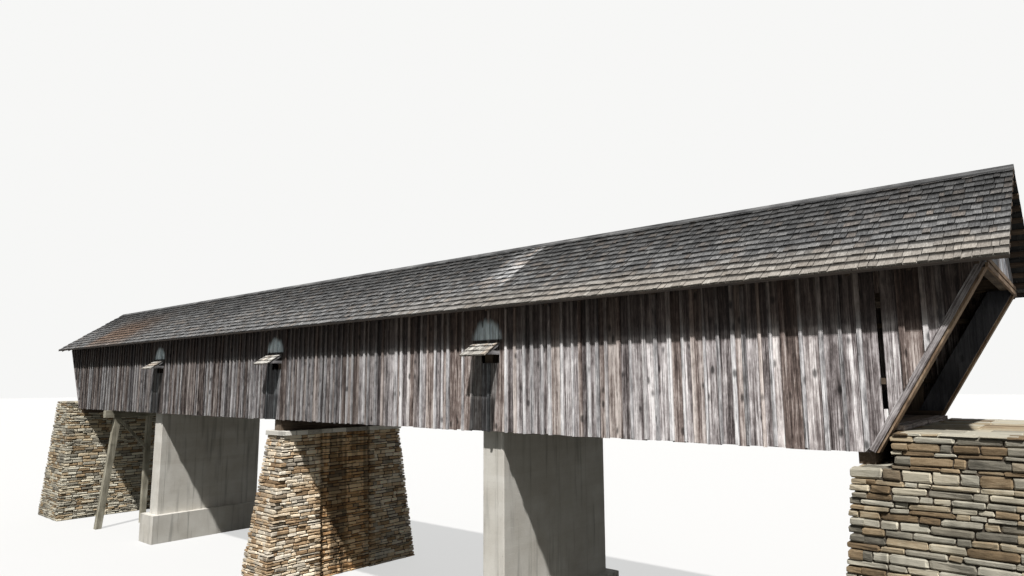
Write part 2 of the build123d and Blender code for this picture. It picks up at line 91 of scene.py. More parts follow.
def openings(node):
    """The cut-outs of a wall: left, right, foot and top of each."""
    inside = [c for c in corners(node) if WALL_FOOT + HAIR < c.z < RAKE_TOP - HAIR]
    levels = [[c.z for c in inside if abs(c.x - left) < HAIR] for left, right in pairs(inside)]
    return [(*pair, min(zs), max(zs)) for pair, zs in zip(pairs(inside), levels)]


HOODS = pairs(corners("hoods"))
HOOD_MIDDLES = [(left + right) / 2 for left, right in HOODS]
print("wall ends at", round(WALL_END, 3), "rake foot", round(RAKE_FOOT, 3), "hoods", HOODS)
print("openings of the near wall", openings("near_siding"))

# %% [markdown]
# ## Writing shader maths as Python
# A weathered surface needs many small sums: a streak plus a blotch, one minus a mask. Drawn by hand
# that is a web of Math nodes. A small class that wraps a socket lets Python's own operators add
# those nodes, so that each finish reads like a formula.

# %% A wire between nodes


class Wire:
    """One output of a node, which the operators below pass on into Math nodes."""

    def __init__(self, graph, socket):
        self.graph = graph
        self.socket = socket

    def math(self, operation, *others):
        """A Math node of that operation on this value and the others."""
        return self.graph.math(operation, self, *others)

    def __add__(self, other):
        return self.math("ADD", other)

    def __sub__(self, other):
        return self.math("SUBTRACT", other)

    def __rsub__(self, other):
        return self.graph.math("SUBTRACT", other, self)

    def __mul__(self, other):
        return self.math("MULTIPLY", other)

    def __abs__(self):
        return self.math("ABSOLUTE")

    __radd__ = __add__
    __rmul__ = __mul__

    def step(self, start, end, low=0.0, high=1.0):
        """Low below start and high above end, with a soft turn between them."""
        inputs = {"Value": self, "From Min": start, "From Max": end, "To Min": low, "To Max": high}
        return self.graph.add("ShaderNodeMapRange", {"interpolation_type": "SMOOTHSTEP"}, inputs)

    def fall(self, start, end):
        """One below start and nothing above end."""
        return self.step(start, end, 1.0, 0.0)

    def part(self, axis):
        """One of the three numbers in a vector."""
        return self.graph.add("ShaderNodeSeparateXYZ", {}, {"Vector": self}, axis)


# %% The nodes of a material or of the background


class Graph:
    """The nodes of a material or of the background, added by calls."""

    def __init__(self, tree):
        self.tree = tree

    def add(self, kind, settings, inputs, output=0):
        """A node: its type, its settings, then the value or wire of each socket. The answer is one output."""
        node = self.tree.nodes.new(kind)
        for name, value in settings.items():
            if name == "stops":
                self.fill_ramp(node.color_ramp, value)
            else:
                setattr(node, name, value)
        for key, value in inputs.items():
            self.join(value, self.pick(node.inputs, key))
        return Wire(self, self.pick(node.outputs, output))

    def pick(self, sockets, key):
        """The socket of that name or number among those in use."""
        shown = [s for s in sockets if s.enabled]
        return shown[key] if isinstance(key, int) else next(s for s in shown if s.name == key)

    def join(self, value, socket):
        """Link a wire to a socket, or set the socket to a plain value."""
        if isinstance(value, Wire):
            self.tree.links.new(value.socket, socket)
        else:
            socket.default_value = value

    def fill_ramp(self, ramp, stops):
        """Give a colour ramp its stops, as pairs of place and colour."""
        while len(ramp.elements) < len(stops):
            ramp.elements.new(1.0)
        for element, (place, colour) in zip(ramp.elements, stops):
            element.position = place
            element.color = (*colour, 1.0)

    def math(self, operation, *values):
        """A Math node of that operation on the given values, in their order."""
        return self.add("ShaderNodeMath", {"operation": operation}, dict(enumerate(values)))


class Finish(Graph):
    """One material and its shader."""

    def __init__(self, name):
        self.material = bpy.data.materials.new(name)
        self.material.use_nodes = True
        super().__init__(self.material.node_tree)
        self.shader = self.tree.nodes["Principled BSDF"]

    def place(self):
        """Where a point is, in metres, in the bridge's own frame."""
        return self.add("ShaderNodeTexCoord", {}, {}, "Object")

    def kept(self, name, output="Fac"):
        """A value that the mesh keeps at each point."""
        return self.add("ShaderNodeAttribute", {"attribute_name": name}, {}, output)

    def scaled(self, vector, scale):
        """The same vector, stretched along its three axes."""
        return self.add("ShaderNodeMapping", {}, {"Vector": vector, "Scale": scale})

    def noise(self, vector, scale, detail=3.0, rough=0.55):
        """Cloudy noise from 0 to 1, with one scale or one for each axis."""
        if not isinstance(scale, tuple):
            scale = (scale, scale, scale)
        inputs = {"Vector": self.scaled(vector, scale), "Scale": 1.0, "Detail": detail, "Roughness": rough}
        return self.add("ShaderNodeTexNoise", {}, inputs)

    def ramp(self, value, stops):
        """Colours along a value."""
        return self.add("ShaderNodeValToRGB", {"stops": stops}, {"Fac": value})

    def mix(self, share, first, second, way="MIX"):
        """One colour over another."""
        first, second = ((*c, 1.0) if isinstance(c, tuple) else c for c in (first, second))
        settings = {"data_type": "RGBA", "blend_type": way, "clamp_result": way != "MULTIPLY"}
        return self.add("ShaderNodeMix", settings, {"Factor": share, "A": first, "B": second})

    def tint(self, colour, other):
        """Two colours multiplied."""
        return self.mix(1.0, colour, other, "MULTIPLY")

    def shade(self, colour, value):
        """A colour made darker or lighter by a value."""
        return self.tint(colour, self.add("ShaderNodeCombineColor", {}, {0: value, 1: value, 2: value}))

    def end(self, colour, rough, height, deep):
        """Send colour, roughness and bump to the shader. Deep is the bump's height in metres."""
        bump = self.add("ShaderNodeBump", {}, {"Strength": 1.0, "Distance": deep, "Height": height})
        self.send({"Base Color": colour, "Roughness": rough, "Normal": bump, "Specular IOR Level": 0.25})
        return self

    def send(self, looks):
        """Give the shader its values or wires by name."""
        for name, value in looks.items():
            self.join(value, self.shader.inputs[name])


# %% [markdown]
# ## Laying hundreds of pieces
# A wall has over a hundred boards and a roof thousands of shingles. Modelling each would be slow, and
# copying one would look stamped. So one block is modelled with bmesh operators at its usual size, and
# then every copy gets its own length, width, bow and tilt. The copies join into one mesh, which keeps
# for each of them a tone, and a grain place that starts somewhere else in the wood.

# %% A block to copy
Shape = namedtuple("Shape", "corners loops starts")
Batch = namedtuple("Batch", "points grain tone")


def whole_block(size):
    """A plain block of that size with one corner at the origin."""
    bm = bmesh.new()
    bmesh.ops.create_cube(bm, size=1)
    bmesh.ops.translate(bm, verts=bm.verts, vec=(0.5, 0.5, 0.5))
    bmesh.ops.scale(bm, verts=bm.verts, vec=size)
    return bm


def ease_edges(bm, edges, wide):
    """A chamfer of that width along some edges."""
    bmesh.ops.bevel(bm, geom=edges, offset=wide, offset_type="OFFSET", segments=1, profile=0.5,
                    affect="EDGES", material=-1)


def read_shape(bm, size):
    """The corners of a block as shares of its size, and its faces, ready to be copied."""
    bm.verts.index_update()
    points = np.array([v.co for v in bm.verts]) / np.array(size)
    loops = np.array([v.index for face in bm.faces for v in face.verts])
    counts = [len(face.verts) for face in bm.faces]
    bm.free()
    return Shape(points, loops, np.cumsum([0, *counts[:-1]]))


def block(size, long_axis, cuts=1, ease=0.0, eased=lambda edge: True):
    """A block of that usual size, cut into lengths so that it can bend, with the chosen edges eased."""
    bm = whole_block(size)
    if ease:
        ease_edges(bm, [e for e in bm.edges if eased(e)], ease)
    normal = Vector([axis == long_axis for axis in range(3)])
    for n in range(1, cuts):
        everything = [*bm.verts, *bm.edges, *bm.faces]
        plane = normal * size[long_axis] * n / cuts
        bmesh.ops.bisect_plane(bm, geom=everything, plane_co=plane, plane_no=normal)
    return read_shape(bm, size)


def runs_along(edge, axis):
    """True for an edge that lies along one axis."""
    a, b = (v.co for v in edge.verts)
    return abs(a[axis] - b[axis]) > HAIR


# %% The mesh that joins the copies


def keep_values(mesh, name, values, kind):
    """Keep a value at each point of the mesh, for its material to read."""
    key = "vector" if kind == "FLOAT_VECTOR" else "value"
    mesh.attributes.new(name, kind, "POINT").data.foreach_set(key, values.astype(np.float32).ravel())


def join_copies(shape, batch):
    """One mesh of all the copies of a block."""
    copies, size = batch.points.shape[:2]
    mesh = bpy.data.meshes.new("copies")
    mesh.vertices.add(copies * size)
    mesh.vertices.foreach_set("co", batch.points.astype(np.float32).ravel())
    order = np.arange(copies)[:, None]
    mesh.loops.add(copies * len(shape.loops))
    mesh.loops.foreach_set("vertex_index", (shape.loops + size * order).ravel())
    mesh.polygons.add(copies * len(shape.starts))
    mesh.polygons.foreach_set("loop_start", (shape.starts + len(shape.loops) * order).ravel())
    mesh.update(calc_edges=True)
    mesh.shade_flat()
    keep_values(mesh, "grain", batch.grain, "FLOAT_VECTOR")
    keep_values(mesh, "tone", np.broadcast_to(batch.tone, (copies, size)), "FLOAT")
    return mesh


def gather(batches):
    """Several batches of the same block as one."""
    return Batch(*(np.concatenate(part) for part in zip(*batches)))


def half_turn(batch):
    """The same pieces turned half round, for the other side of the bridge."""
    return batch._replace(points=batch.points * np.array([-1, -1, 1]))


# %% Put a finished piece on the bridge
made = {}


def to_mesh(bm):
    """A mesh of what has been modelled."""
    mesh = bpy.data.meshes.new("modelled")
    bm.to_mesh(mesh)
    bm.free()
    return mesh


def add_object(name, data):
    """A new object in the scene."""
    new = bpy.data.objects.new(name, data)
    bpy.context.scene.collection.objects.link(new)
    return new


def fit(name, mesh, finish, slot, *replaced):
    """A finished piece: its material, the body it rides on, its slot, which is not used, and the nodes it
    stands for.
    """
    mesh.name = name
    mesh.materials.append(finish.material)
    piece = add_object(name, mesh)
    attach(piece, "root")
    if replaced:
        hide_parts(*replaced)
    mesh.calc_loop_triangles()
    made[name] = len(mesh.loop_triangles)
    print(name, made[name], "triangles")


# %% [markdown]
# ## Where a row of pieces lies
# A wall, a hood and a gable are all flat places with boards on them, and differ only in
# where their three directions point. A Face holds a starting point and those directions, and one
# function can then lay boards on any of them.

# %% A face and its three directions


class Face:
    """A starting point and three directions in which pieces are measured."""

    def __init__(self, start, first, second, third):
        self.start = np.array(start, float)
        self.axes = np.array([first, second, third], float)

    def at(self, *measures):
        """The points that lie so far along each of the three directions."""
        return self.start + np.stack(np.broadcast_arrays(*measures), axis=-1) @ self.axes


def varied(chance, count):
    """A function that draws one number between two for each piece, in a column."""
    return lambda low, high: chance.uniform(low, high, (count, 1))


def with_grain(chance, points, *measures):
    """A batch whose grain is its own measures, moved to another place in the wood for each piece."""
    count = len(points)
    grain = np.stack(np.broadcast_arrays(*measures), axis=-1) + chance.uniform(0, 40, (count, 1, 3))
    return Batch(points, grain, chance.uniform(0, 1, (count, 1)))


def slope(angle):
    """The direction up a slope and the direction out of it."""
    sine, cosine = math.sin(angle), math.cos(angle)
    return np.array([0, cosine, sine]), np.array([0, -sine, cosine])


def piece_ends(start, end, narrow, wide, chance):
    """The joints of pieces of random width between two ends."""
    widths = chance.uniform(narrow, wide, int((end - start) / narrow) + 1)
    joints = start + np.cumsum(widths)
    return np.array([start, *joints[joints < end - narrow], end])


def level(z):
    """An edge that stays at one height."""
    return lambda x: np.full_like(x, z)


# %% Boards on a face
BOARD = block((0.28, 0.025, 3.1), long_axis=2, cuts=8, ease=0.003, eased=lambda e: runs_along(e, 2))
BOARD_GAP = 0.012


def lay_boards(face, starts, ends, low, high, thick, chance, bow=0.004, ragged=0.0):
    """A board on each span of the face, from low to high, a little bowed and unevenly cut."""
    first, last = np.array(starts)[:, None], np.array(ends)[:, None]
    across, depth, along = BOARD.corners.T
    vary = varied(chance, len(first))
    side = first + across * (last - first)
    foot = low(side) + vary(-ragged, ragged)
    rise = foot + along * (high(side) - foot)
    belly = vary(-0.2, 1) * bow * np.sin(np.pi * along)
    kick = vary(0, 1) * bow * (1 - along) ** 3
    inward = depth * thick - belly - kick
    return with_grain(chance, face.at(side, inward, rise), side - first, depth * thick, rise)


# %% [markdown]
# ## Weathered boards
# The walls were never painted. Sun and rain have bleached the boards to silver and pinkish greys,
# with darker ones between, and under the eaves they stay brown. Each board keeps its own tone; long
# streaks, hair checks and a few knots follow its grain, and broad fades follow the wall. Some of the
# colour is painted light and shade: a darker band above the edge of the eave's shadow, lengths of wall
# that are partly bleached and partly in painted foliage shade, a painted glow above each hood and a
# painted shadow below it.

# %% The colours and the grain of old wood
SILVER = [(0.0, (0.022, 0.018, 0.018)), (0.3, (0.13, 0.112, 0.112)),
          (0.6, (0.36, 0.335, 0.34)), (1.0, (0.8, 0.775, 0.78))]
WARM = [(0.0, (0.022, 0.015, 0.013)), (0.4, (0.155, 0.12, 0.108)), (1.0, (0.66, 0.6, 0.57))]
BLEACHED = [(0.0, (0.07, 0.066, 0.068)), (0.4, (0.34, 0.335, 0.345)), (1.0, (0.88, 0.87, 0.88))]
BROWN = [(0.0, (0.02, 0.014, 0.01)), (0.5, (0.085, 0.06, 0.043)), (1.0, (0.19, 0.14, 0.1))]


def wood_marks(wood, grain):
    """The strength of the grain at a point, with its hair checks and knots, along the third axis."""
    band = wood.noise(grain, (12.0, 12.0, 0.35), 2.0)
    streak = wood.noise(grain, (36.0, 36.0, 1.0), 4.0, 0.65)
    fibre = wood.noise(grain, (170.0, 170.0, 7.0), 3.0, 0.65)
    blotch = wood.noise(grain, (5.0, 5.0, 3.0), 4.0, 0.7)
    checks = wood.noise(grain, (80.0, 80.0, 1.3), 2.0).step(0.62, 0.68)
    cells = {"Vector": wood.scaled(grain, (3.8, 0.25, 1.9)), "Scale": 1.0}
    knots = wood.add("ShaderNodeTexVoronoi", {}, cells).fall(0.08, 0.22)
    mark = band * 1.3 + streak * 1.5 + blotch * 0.8 + fibre * 0.9 - 2.25
    return mark, streak, fibre, checks, knots


# %% The weather and the painted shade on a long wall
# Where the eave's shadow ends on the wall; above it the boards get painted shade.
EAVE_SHADOW_EDGE = EAVE_LEVEL - (EAVE_Y - WALL_Y) * 1.75
SHADOW_FOOT = hood_low.z + (WALL_Y + hood_low.y) * 1.8
print("dry boards from", round(EAVE_SHADOW_EDGE, 3), "hood shadow down to", round(SHADOW_FOOT, 3))


def nearest(along, places):
    """How far a point is from the nearest of three places along the wall."""
    first, second, third = (abs(along - x) for x in places)
    return first.math("MINIMUM", second).math("MINIMUM", third)


def wall_weather(wood, colour, along, height, mark, streak, fade, eave_shade):
    """Boards browner and darker high up, painted shade above the eave shadow's edge, a fade along the wall,
    lengths painted lighter and darker, and the hoods' painted light and shadow.
    """
    # Browner and darker high up: partly the weathering of sheltered boards, partly painted shade under the
    # eave.
    brown_and_shade = (height + (streak - 0.5) * 0.5).step(WALL_TOP - 1.3, WALL_TOP - 0.65)
    colour = wood.mix(brown_and_shade, colour, wood.tint(colour, (0.5, 0.43, 0.39)))
    # Lengths of wall painted lighter and darker: partly bleaching, partly the painted shade of foliage.
    bleach_and_foliage_shade = along.step(4.5, 7.0, 0.82, 1.4) * along.step(9.4, 10.4, 1.0, 0.8)
    bleach_and_foliage_shade = bleach_and_foliage_shade * along.step(13.0, 14.5, 1.0, 1.22)
    # Above the edge of the eave's shadow the boards are painted darker, as painted shade.
    light = along.step(-WALL_END, WALL_END, *fade) * height.step(EAVE_SHADOW_EDGE, EAVE_SHADOW_EDGE + 0.12, 1.0, eave_shade)
    return hood_light_and_shadow(wood, wood.shade(colour, bleach_and_foliage_shade * light), along, height, mark)


def hood_light_and_shadow(wood, colour, along, height, mark):
    """A painted glow of light thrown up from each hood onto the boards above it, and the hood's painted
    shadow on the boards below it, darkest under the foot of the lamp's shadow.
    """
    # Painted reflected light: a pale blue arch on the shaded boards above each hood, as if thrown up from its
    # sunlit shingles.
    above = height.step(hood_high.z, hood_high.z + 0.04)
    wide, tall = nearest(along, HOOD_MIDDLES) * 2.1, (height - hood_high.z + mark * 0.2) * 1.9
    bounce_glow = (wide * wide + tall * tall).fall(0.55, 1.2) * above
    colour = wood.mix(bounce_glow * 0.85, colour, wood.shade((0.8, 0.93, 1.0), mark * 1.1 + 0.85))
    # Painted shadow: a dark strip under each hood, leaning like the lamp's shadow and darkest below where
    # that shadow ends.
    drift = (hood_low.z - height) * 0.12
    below = nearest(along + drift, HOOD_MIDDLES).fall(0.37, 0.43) * (1.0 - above)
    hood_shadow_depth = height.step(SHADOW_FOOT - 0.1, SHADOW_FOOT + 0.1, 0.17, 0.5)
    return wood.mix(below, colour, wood.shade(wood.tint(colour, (0.9, 0.97, 1.0)), hood_shadow_depth))


# %% The weathered board finish


def weathered_boards(name, cool=SILVER, warm=WARM, fade=None, eave_shade=0.5):
    """Bleached boards. For a long wall, fade is its lightness at both ends, and eave_shade how light the
    boards are painted above the edge of the eave's shadow, as painted shade.
    """
    wood = Finish(name)
    grain, tone = wood.kept("grain", "Vector"), wood.kept("tone")
    mark, streak, fibre, checks, knots = wood_marks(wood, grain)
    place = wood.place()
    along, height = place.part(0), place.part(2)
    hue, contrast = (tone * 7.3).math("FRACT"), 1.0
    if fade:
        hue = hue + along.step(-12.0, 10.0, 0.4, 0.0)
        contrast = along.step(-6.0, 6.0, 1.45, 1.05)
    pick = tone * 0.42 + mark * contrast + 0.25
    colour = wood.mix(hue.step(0.55, 0.85), wood.ramp(pick, cool), wood.ramp(pick, warm))
    if fade:
        colour = wall_weather(wood, colour, along, height, mark, streak, fade, eave_shade)
    colour = wood.shade(colour, 1.0 - checks * 0.6 - knots * 0.75)
    return wood.end(colour, 0.78 + streak * 0.2, streak * 0.5 + fibre * 0.35 - checks * 0.9, 0.004)


near_boards = weathered_boards("near_weathered_boards", fade=(0.27, 1.05))
near_battens = weathered_boards("near_weathered_battens", BLEACHED, fade=(0.72, 1.05), eave_shade=0.65)
far_boards = weathered_boards("far_weathered_boards", fade=(0.95, 0.8))
trim_boards = weathered_boards("trim_weathered_boards")

# %% [markdown]
# ## Board and batten walls
# Wide boards stand side by side, and a narrow batten covers each joint. The battens stand proud, so
# they catch the light and notch the edge of the eave's shadow. At both ends the wall is cut on a slant.
# One long slit is left near an end, where a strip of wall has gone.

# %% Boards and battens of a wall
BATTEN_THICK = 0.042
BOARD_WIDTHS, HALF_BATTENS, JOINT_SLACK = (0.19, 0.36), (0.024, 0.05), 0.012
CASING_WIDE, CASING_THICK = 0.1, 0.03
rake_up = np.array([RAKE_LEAN, 0, 1]) / math.hypot(RAKE_LEAN, 1)
wall_face, batten_face = (
    Face((0, -WALL_Y - proud, 0), (1, 0, 0), (0, 1, 0), (0, 0, 1)) for proud in (0, BATTEN_THICK))


def wall_foot(x, casing=0.0):
    """The lower edge of a wall, which climbs along the slanted ends, above a casing of that width."""
    return np.maximum(WALL_FOOT, WALL_FOOT + (np.abs(x) - RAKE_FOOT + casing) / RAKE_LEAN)


def batten_foot(x):
    """The lower edge of the battens, which stop at the casing."""
    return wall_foot(x, CASING_WIDE / rake_up[2])


def wall_batches(seed, holes):
    """The boards and the battens of one wall, both cut short below and above each hole."""
    chance = np.random.default_rng(seed)
    stops = [-WALL_END, *[x for hole in holes for x in hole[:2]], WALL_END]
    boards, battens = [], []
    for n, (left, right) in enumerate(zip(stops[:-1], stops[1:])):
        bands = [(wall_foot, batten_foot, level(WALL_TOP))]
        if n % 2:
            foot, top = holes[n // 2][2:]
            bands = [(wall_foot, batten_foot, level(foot)), (level(top), level(top), level(WALL_TOP))]
        joints = piece_ends(left, right, *BOARD_WIDTHS, chance)
        inner = joints[1:-1] + chance.uniform(-JOINT_SLACK, JOINT_SLACK, len(joints) - 2)
        half = chance.uniform(*HALF_BATTENS, len(inner))
        for low, batten_low, high in bands:
            boards.append(lay_boards(wall_face, joints[:-1], joints[1:] - BOARD_GAP, low, high,
                                     BOARD_THICK, chance, 0.008, 0.014))
            battens.append(lay_boards(batten_face, inner - half, inner + half, batten_low, high,
                                      BATTEN_THICK, chance, 0.006, 0.02))
    return gather(boards), gather(battens)


# %% Both long walls
boards, battens = wall_batches(11, openings("near_siding"))
fit("near_wall_boards", join_copies(BOARD, boards), near_boards, "weathered_board", "near_siding")
fit("near_wall_battens", join_copies(BOARD, battens), near_battens, "weathered_board")
turned = [(-right, -left, *levels) for left, right, *levels in reversed(openings("far_siding"))]
boards, battens = wall_batches(12, turned)
fit("far_wall_boards", join_copies(BOARD, half_turn(boards)), far_boards, "weathered_board", "far_siding")
fit("far_wall_battens", join_copies(BOARD, half_turn(battens)), far_boards, "weathered_board")

# %% [markdown]
# ## Casing along the slanted ends
# A grey strip runs along each slanted end, over the ends of the boards. It is one board laid on a
# face whose directions lean with the cut.

# %% Four casing strips
rake_side = np.array([rake_up[2], 0, -rake_up[0]])
rake_long = (RAKE_TOP - WALL_FOOT) * math.hypot(RAKE_LEAN, 1)
chance = np.random.default_rng(21)
casings = []
for turn in (1, -1):
    start = (turn * RAKE_FOOT, -WALL_Y - CASING_THICK, WALL_FOOT)
    face = Face(start, rake_side * (1, 1, turn), (0, 1, 0), rake_up * (turn, 1, 1))
    low, high = sorted((0.0, -turn * CASING_WIDE))
    casings.append(lay_boards(face, [low], [high], level(0.0), level(rake_long), CASING_THICK, chance))
casings += [half_turn(batch) for batch in casings]
fit("rake_casings", join_copies(BOARD, gather(casings)), trim_boards, "weathered_board")

# %% [markdown]
# ## Gable boards
# Over each portal the gable is closed with upright boards cut to the roof's slope. They hang in the
# shade of the roof, and their cool blue grey is that shade, painted into their colour.

# %% Boards of both gables
GABLE_WIDTHS = (0.13, 0.24)
gable_low, gable_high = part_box("gable_siding")
COOL = [(0.0, (0.08, 0.082, 0.09)), (0.45, (0.31, 0.32, 0.35)), (1.0, (0.72, 0.74, 0.78))]
gable_boards = weathered_boards("gable_weathered_boards", COOL, SILVER)


def gable_top(y):
    """The underside of the lath over a gable."""
    return gable_high.z - np.abs(y) * math.tan(ROOF_PITCH)


chance = np.random.default_rng(31)
gable_face = Face((gable_high.x, 0, 0), (0, 1, 0), (-1, 0, 0), (0, 0, 1))
first_half = piece_ends(gable_low.y, 0.0, *GABLE_WIDTHS, chance)
joints = np.concatenate([first_half, piece_ends(0.0, gable_high.y, *GABLE_WIDTHS, chance)[1:]])
gable = lay_boards(gable_face, joints[:-1], joints[1:] - BOARD_GAP, level(gable_low.z), gable_top,
                   BOARD_THICK, chance, 0.004)
gables = gather([gable, half_turn(gable)])
fit("gable_boards", join_copies(BOARD, gables), gable_boards, "weathered_board", "gable_siding")

# %% [markdown]
# ## Shingles
# A shingle is a short thin board, thick at its butt and thin at its head. It lies on the two courses
# below it, so less than half of it shows. If a shingle rises from the deck in a straight line, its butt
# must stand as high as the course under it is thick there, and that sum gives the height of each
# piece. Sides are laid broken-jointed, each a little askew, with worn butts of uneven length.

# %% The shingle and how a slope is covered
SHINGLE_LONG, BUTT_THICK, HEAD_THICK = 0.62, 0.022, 0.003
SHINGLE = block((0.15, SHINGLE_LONG, BUTT_THICK), long_axis=1, cuts=2)


def shingle_rows(left, right, slope_long, courses, chance, narrow, wide, long):
    """Left, right, foot and head of each shingle, and 1 for those of the short course under the first."""
    step = slope_long / courses
    rows = []
    for course in range(-1, courses):
        joints = piece_ends(left, right, narrow, wide, chance)
        foot = max(course, 0) * step
        head = min(foot + (step if course < 0 else long), slope_long)
        rows += [[a, b, foot, head, course < 0] for a, b in zip(joints[:-1], joints[1:])]
    return (column[:, None] for column in np.array(rows, float).T)


def lay_shingles(face, left, right, slope_long, courses, chance, narrow=0.09, wide=0.21, long=SHINGLE_LONG):
    """Courses of shingles up a slope, from the eave to the ridge."""
    step = slope_long / courses
    rows = shingle_rows(left, right, slope_long, courses, chance, narrow, wide, long)
    first, last, foot, head, starter = rows
    vary = varied(chance, len(first))
    across, along, depth = SHINGLE.corners.T
    gap = vary(0.002, 0.007)
    side = first + gap + across * (last - first - 2 * gap)
    stacked = 1 - 0.4 * 0.55 ** (foot / step)
    foot = foot - vary(-0.012, 0.014) * (foot > 0)
    rise = foot + along * (head - foot)
    side = np.clip(side + (along - 0.5) * vary(-0.01, 0.01), left, right)
    rise = rise + (across - 0.5) * vary(-0.009, 0.009) * (1 - along)
    butt = BUTT_THICK * vary(0.8, 1.2)
    under = (butt + (HEAD_THICK - butt) * step / long) * long / step
    lift = (1 - starter) * under * stacked * (1 - along)
    curl = vary(-0.004, 0.009) * (1 - along) ** 2 * (across - 0.5)
    solid = (butt + (HEAD_THICK - butt) * along) * (1 - starter * 0.2)
    up = lift + curl * (1 - starter) + depth * solid
    batch = with_grain(chance, face.at(side, rise, up), side - first, depth * solid, rise)
    batch.grain[..., 2] = along * (head - foot)
    return batch


# %% [markdown]
# ## The shingle finish
# Old shingles are grey where the sun reaches them and nearly black with lichen where they stay wet.
# Tone changes from piece to piece, and the part just under the next course is painted darker, as the
# shade of the butt above it. Three patches of the sunny slope differ: a paler one along the eave at one
# end, a mossy brown one at the other, and a short brighter stretch under the ridge that ends at a seam.

# %% Old wood shingles
ASH = [(0.0, (0.015, 0.015, 0.016)), (0.35, (0.065, 0.066, 0.068)),
       (0.7, (0.15, 0.151, 0.153)), (1.0, (0.31, 0.305, 0.295))]
PALE = [(0.0, (0.1, 0.088, 0.076)), (0.5, (0.2, 0.182, 0.16)), (1.0, (0.34, 0.32, 0.285))]
BRIGHT_STRETCH_END = 9.6


def slope_patches(wood, colour, place, cloud, pick):
    """The pale, the mossy and the brighter patch of the sunny slope, which darkens towards the ridge."""
    along, rise = place.part(0), place.part(2) - EAVE_LEVEL
    eave = rise + cloud * 0.6
    pale = eave.fall(0.45, 1.0) * along.step(2.0, 15.0)
    colour = wood.mix(pale * 0.75, colour, wood.ramp(pick, PALE))
    drift = along + cloud * 4.0
    moss = drift.step(-15.0, -13.5) * drift.fall(-11.5, -8.5)
    moss = moss * eave.step(0.0, 0.8) * eave.fall(1.1, 2.1)
    colour = wood.mix(moss * 0.7, colour, wood.shade((0.17, 0.1, 0.06), pick + 0.2))
    # A short stretch under the ridge, ending at a seam, is made four times brighter.
    seam = along + rise * 0.07
    bright_stretch = seam.step(BRIGHT_STRETCH_END - 1.3, BRIGHT_STRETCH_END - 0.2) * seam.fall(BRIGHT_STRETCH_END, BRIGHT_STRETCH_END + 0.06)
    bright_stretch = bright_stretch * rise.step(0.3, 1.4)
    return wood.shade(colour, (1.0 + bright_stretch * 3.0) * rise.step(0.0, ROOF_TOP - EAVE_LEVEL, 1.5, 0.46))


def old_shingles(name, stops=ASH, patches=False):
    """Grey shingles, with the patches of the sunny slope if asked for."""
    wood = Finish(name)
    grain, tone, place = wood.kept("grain", "Vector"), wood.kept("tone"), wood.place()
    streak = wood.noise(grain, (45.0, 45.0, 8.0), 4.0, 0.65)
    fibre = wood.noise(grain, (200.0, 200.0, 20.0), 2.0)
    cloud = wood.noise(place, 0.45, 4.0)
    lichen = wood.noise(place, 9.0, 4.0, 0.7).step(0.56, 0.68)
    pick = tone * 0.36 + streak * 1.4 + cloud * 0.4 + fibre * 0.6 - 0.88
    colour, hue = wood.ramp(pick, stops), (tone * 5.7).math("FRACT")
    colour = wood.mix(hue.step(0.6, 0.95) * 0.5, colour, wood.tint(colour, (1.15, 0.92, 0.74)))
    colour = wood.mix(lichen * 0.4, colour, (0.06, 0.062, 0.056))
    if patches:
        colour = slope_patches(wood, colour, place, cloud, pick)
    # The part of each shingle just under the next course's butt is painted dark, as the butt's shade.
    head = grain.part(2).step(0.14, 0.22)
    colour = wood.shade(colour, 1.0 - head * 0.85)
    return wood.end(colour, 0.8 + fibre * 0.15, streak * 0.5 + fibre * 0.4, 0.003)


# %% Both roof slopes
COURSES = 14
up_slope, off_slope = slope(ROOF_PITCH)
slope_long = EAVE_Y / math.cos(ROOF_PITCH)
deck_start = np.array([0, -EAVE_Y, EAVE_LEVEL]) - off_slope * SHINGLE_LAYER
roof_face = Face(deck_start, (1, 0, 0), up_slope, off_slope)
for side, seed in (("near", 41), ("far", 42)):
    cover = lay_shingles(roof_face, -ROOF_END, ROOF_END, slope_long, COURSES, np.random.default_rng(seed))
    cover = half_turn(cover) if side == "far" else cover
    finish = old_shingles(f"{side}_old_shingles", patches=side == "near")
    fit(f"{side}_shingles", join_copies(SHINGLE, cover), finish, "wood_shingle", f"{side}_roof")

# %% [markdown]
# ## The hoods
# Three small hoods shelter slots high in each wall, where a few boards were cut short. Each has a
# sheathing of three boards and ragged shingles, laid with the same two functions on faces of their own.

# %% Hood sheathing and hood shingles
HOOD_SLOPE = math.radians(32)
SHEATHING = 0.012
hood_up, hood_off = slope(HOOD_SLOPE)
hood_long = (-WALL_Y - hood_low.y) / math.cos(HOOD_SLOPE)
drip = np.array([0, hood_low.y, hood_low.z]) + hood_off * SHEATHING
CREAM = [(0.0, (0.06, 0.055, 0.05)), (0.4, (0.32, 0.305, 0.28)), (1.0, (0.82, 0.8, 0.75))]


def cover_hoods(hoods, seed):
    """The sheathing and the shingles of the hoods on one wall."""
    chance = np.random.default_rng(seed)
    joints = np.linspace(0.0, hood_long, 4)
    under, over = [], []
    for left, right in hoods:
        face = Face(drip, hood_up, -hood_off, (1, 0, 0))
        under.append(lay_boards(face, joints[:-1], joints[1:] - BOARD_GAP, level(left + 0.01),
                                level(right - 0.01), SHEATHING, chance, 0.0))
        face = Face(drip, (1, 0, 0), hood_up, hood_off)
        over.append(lay_shingles(face, left, right, hood_long, 3, chance, 0.07, 0.17, 0.4))
    return gather(under), gather(over)


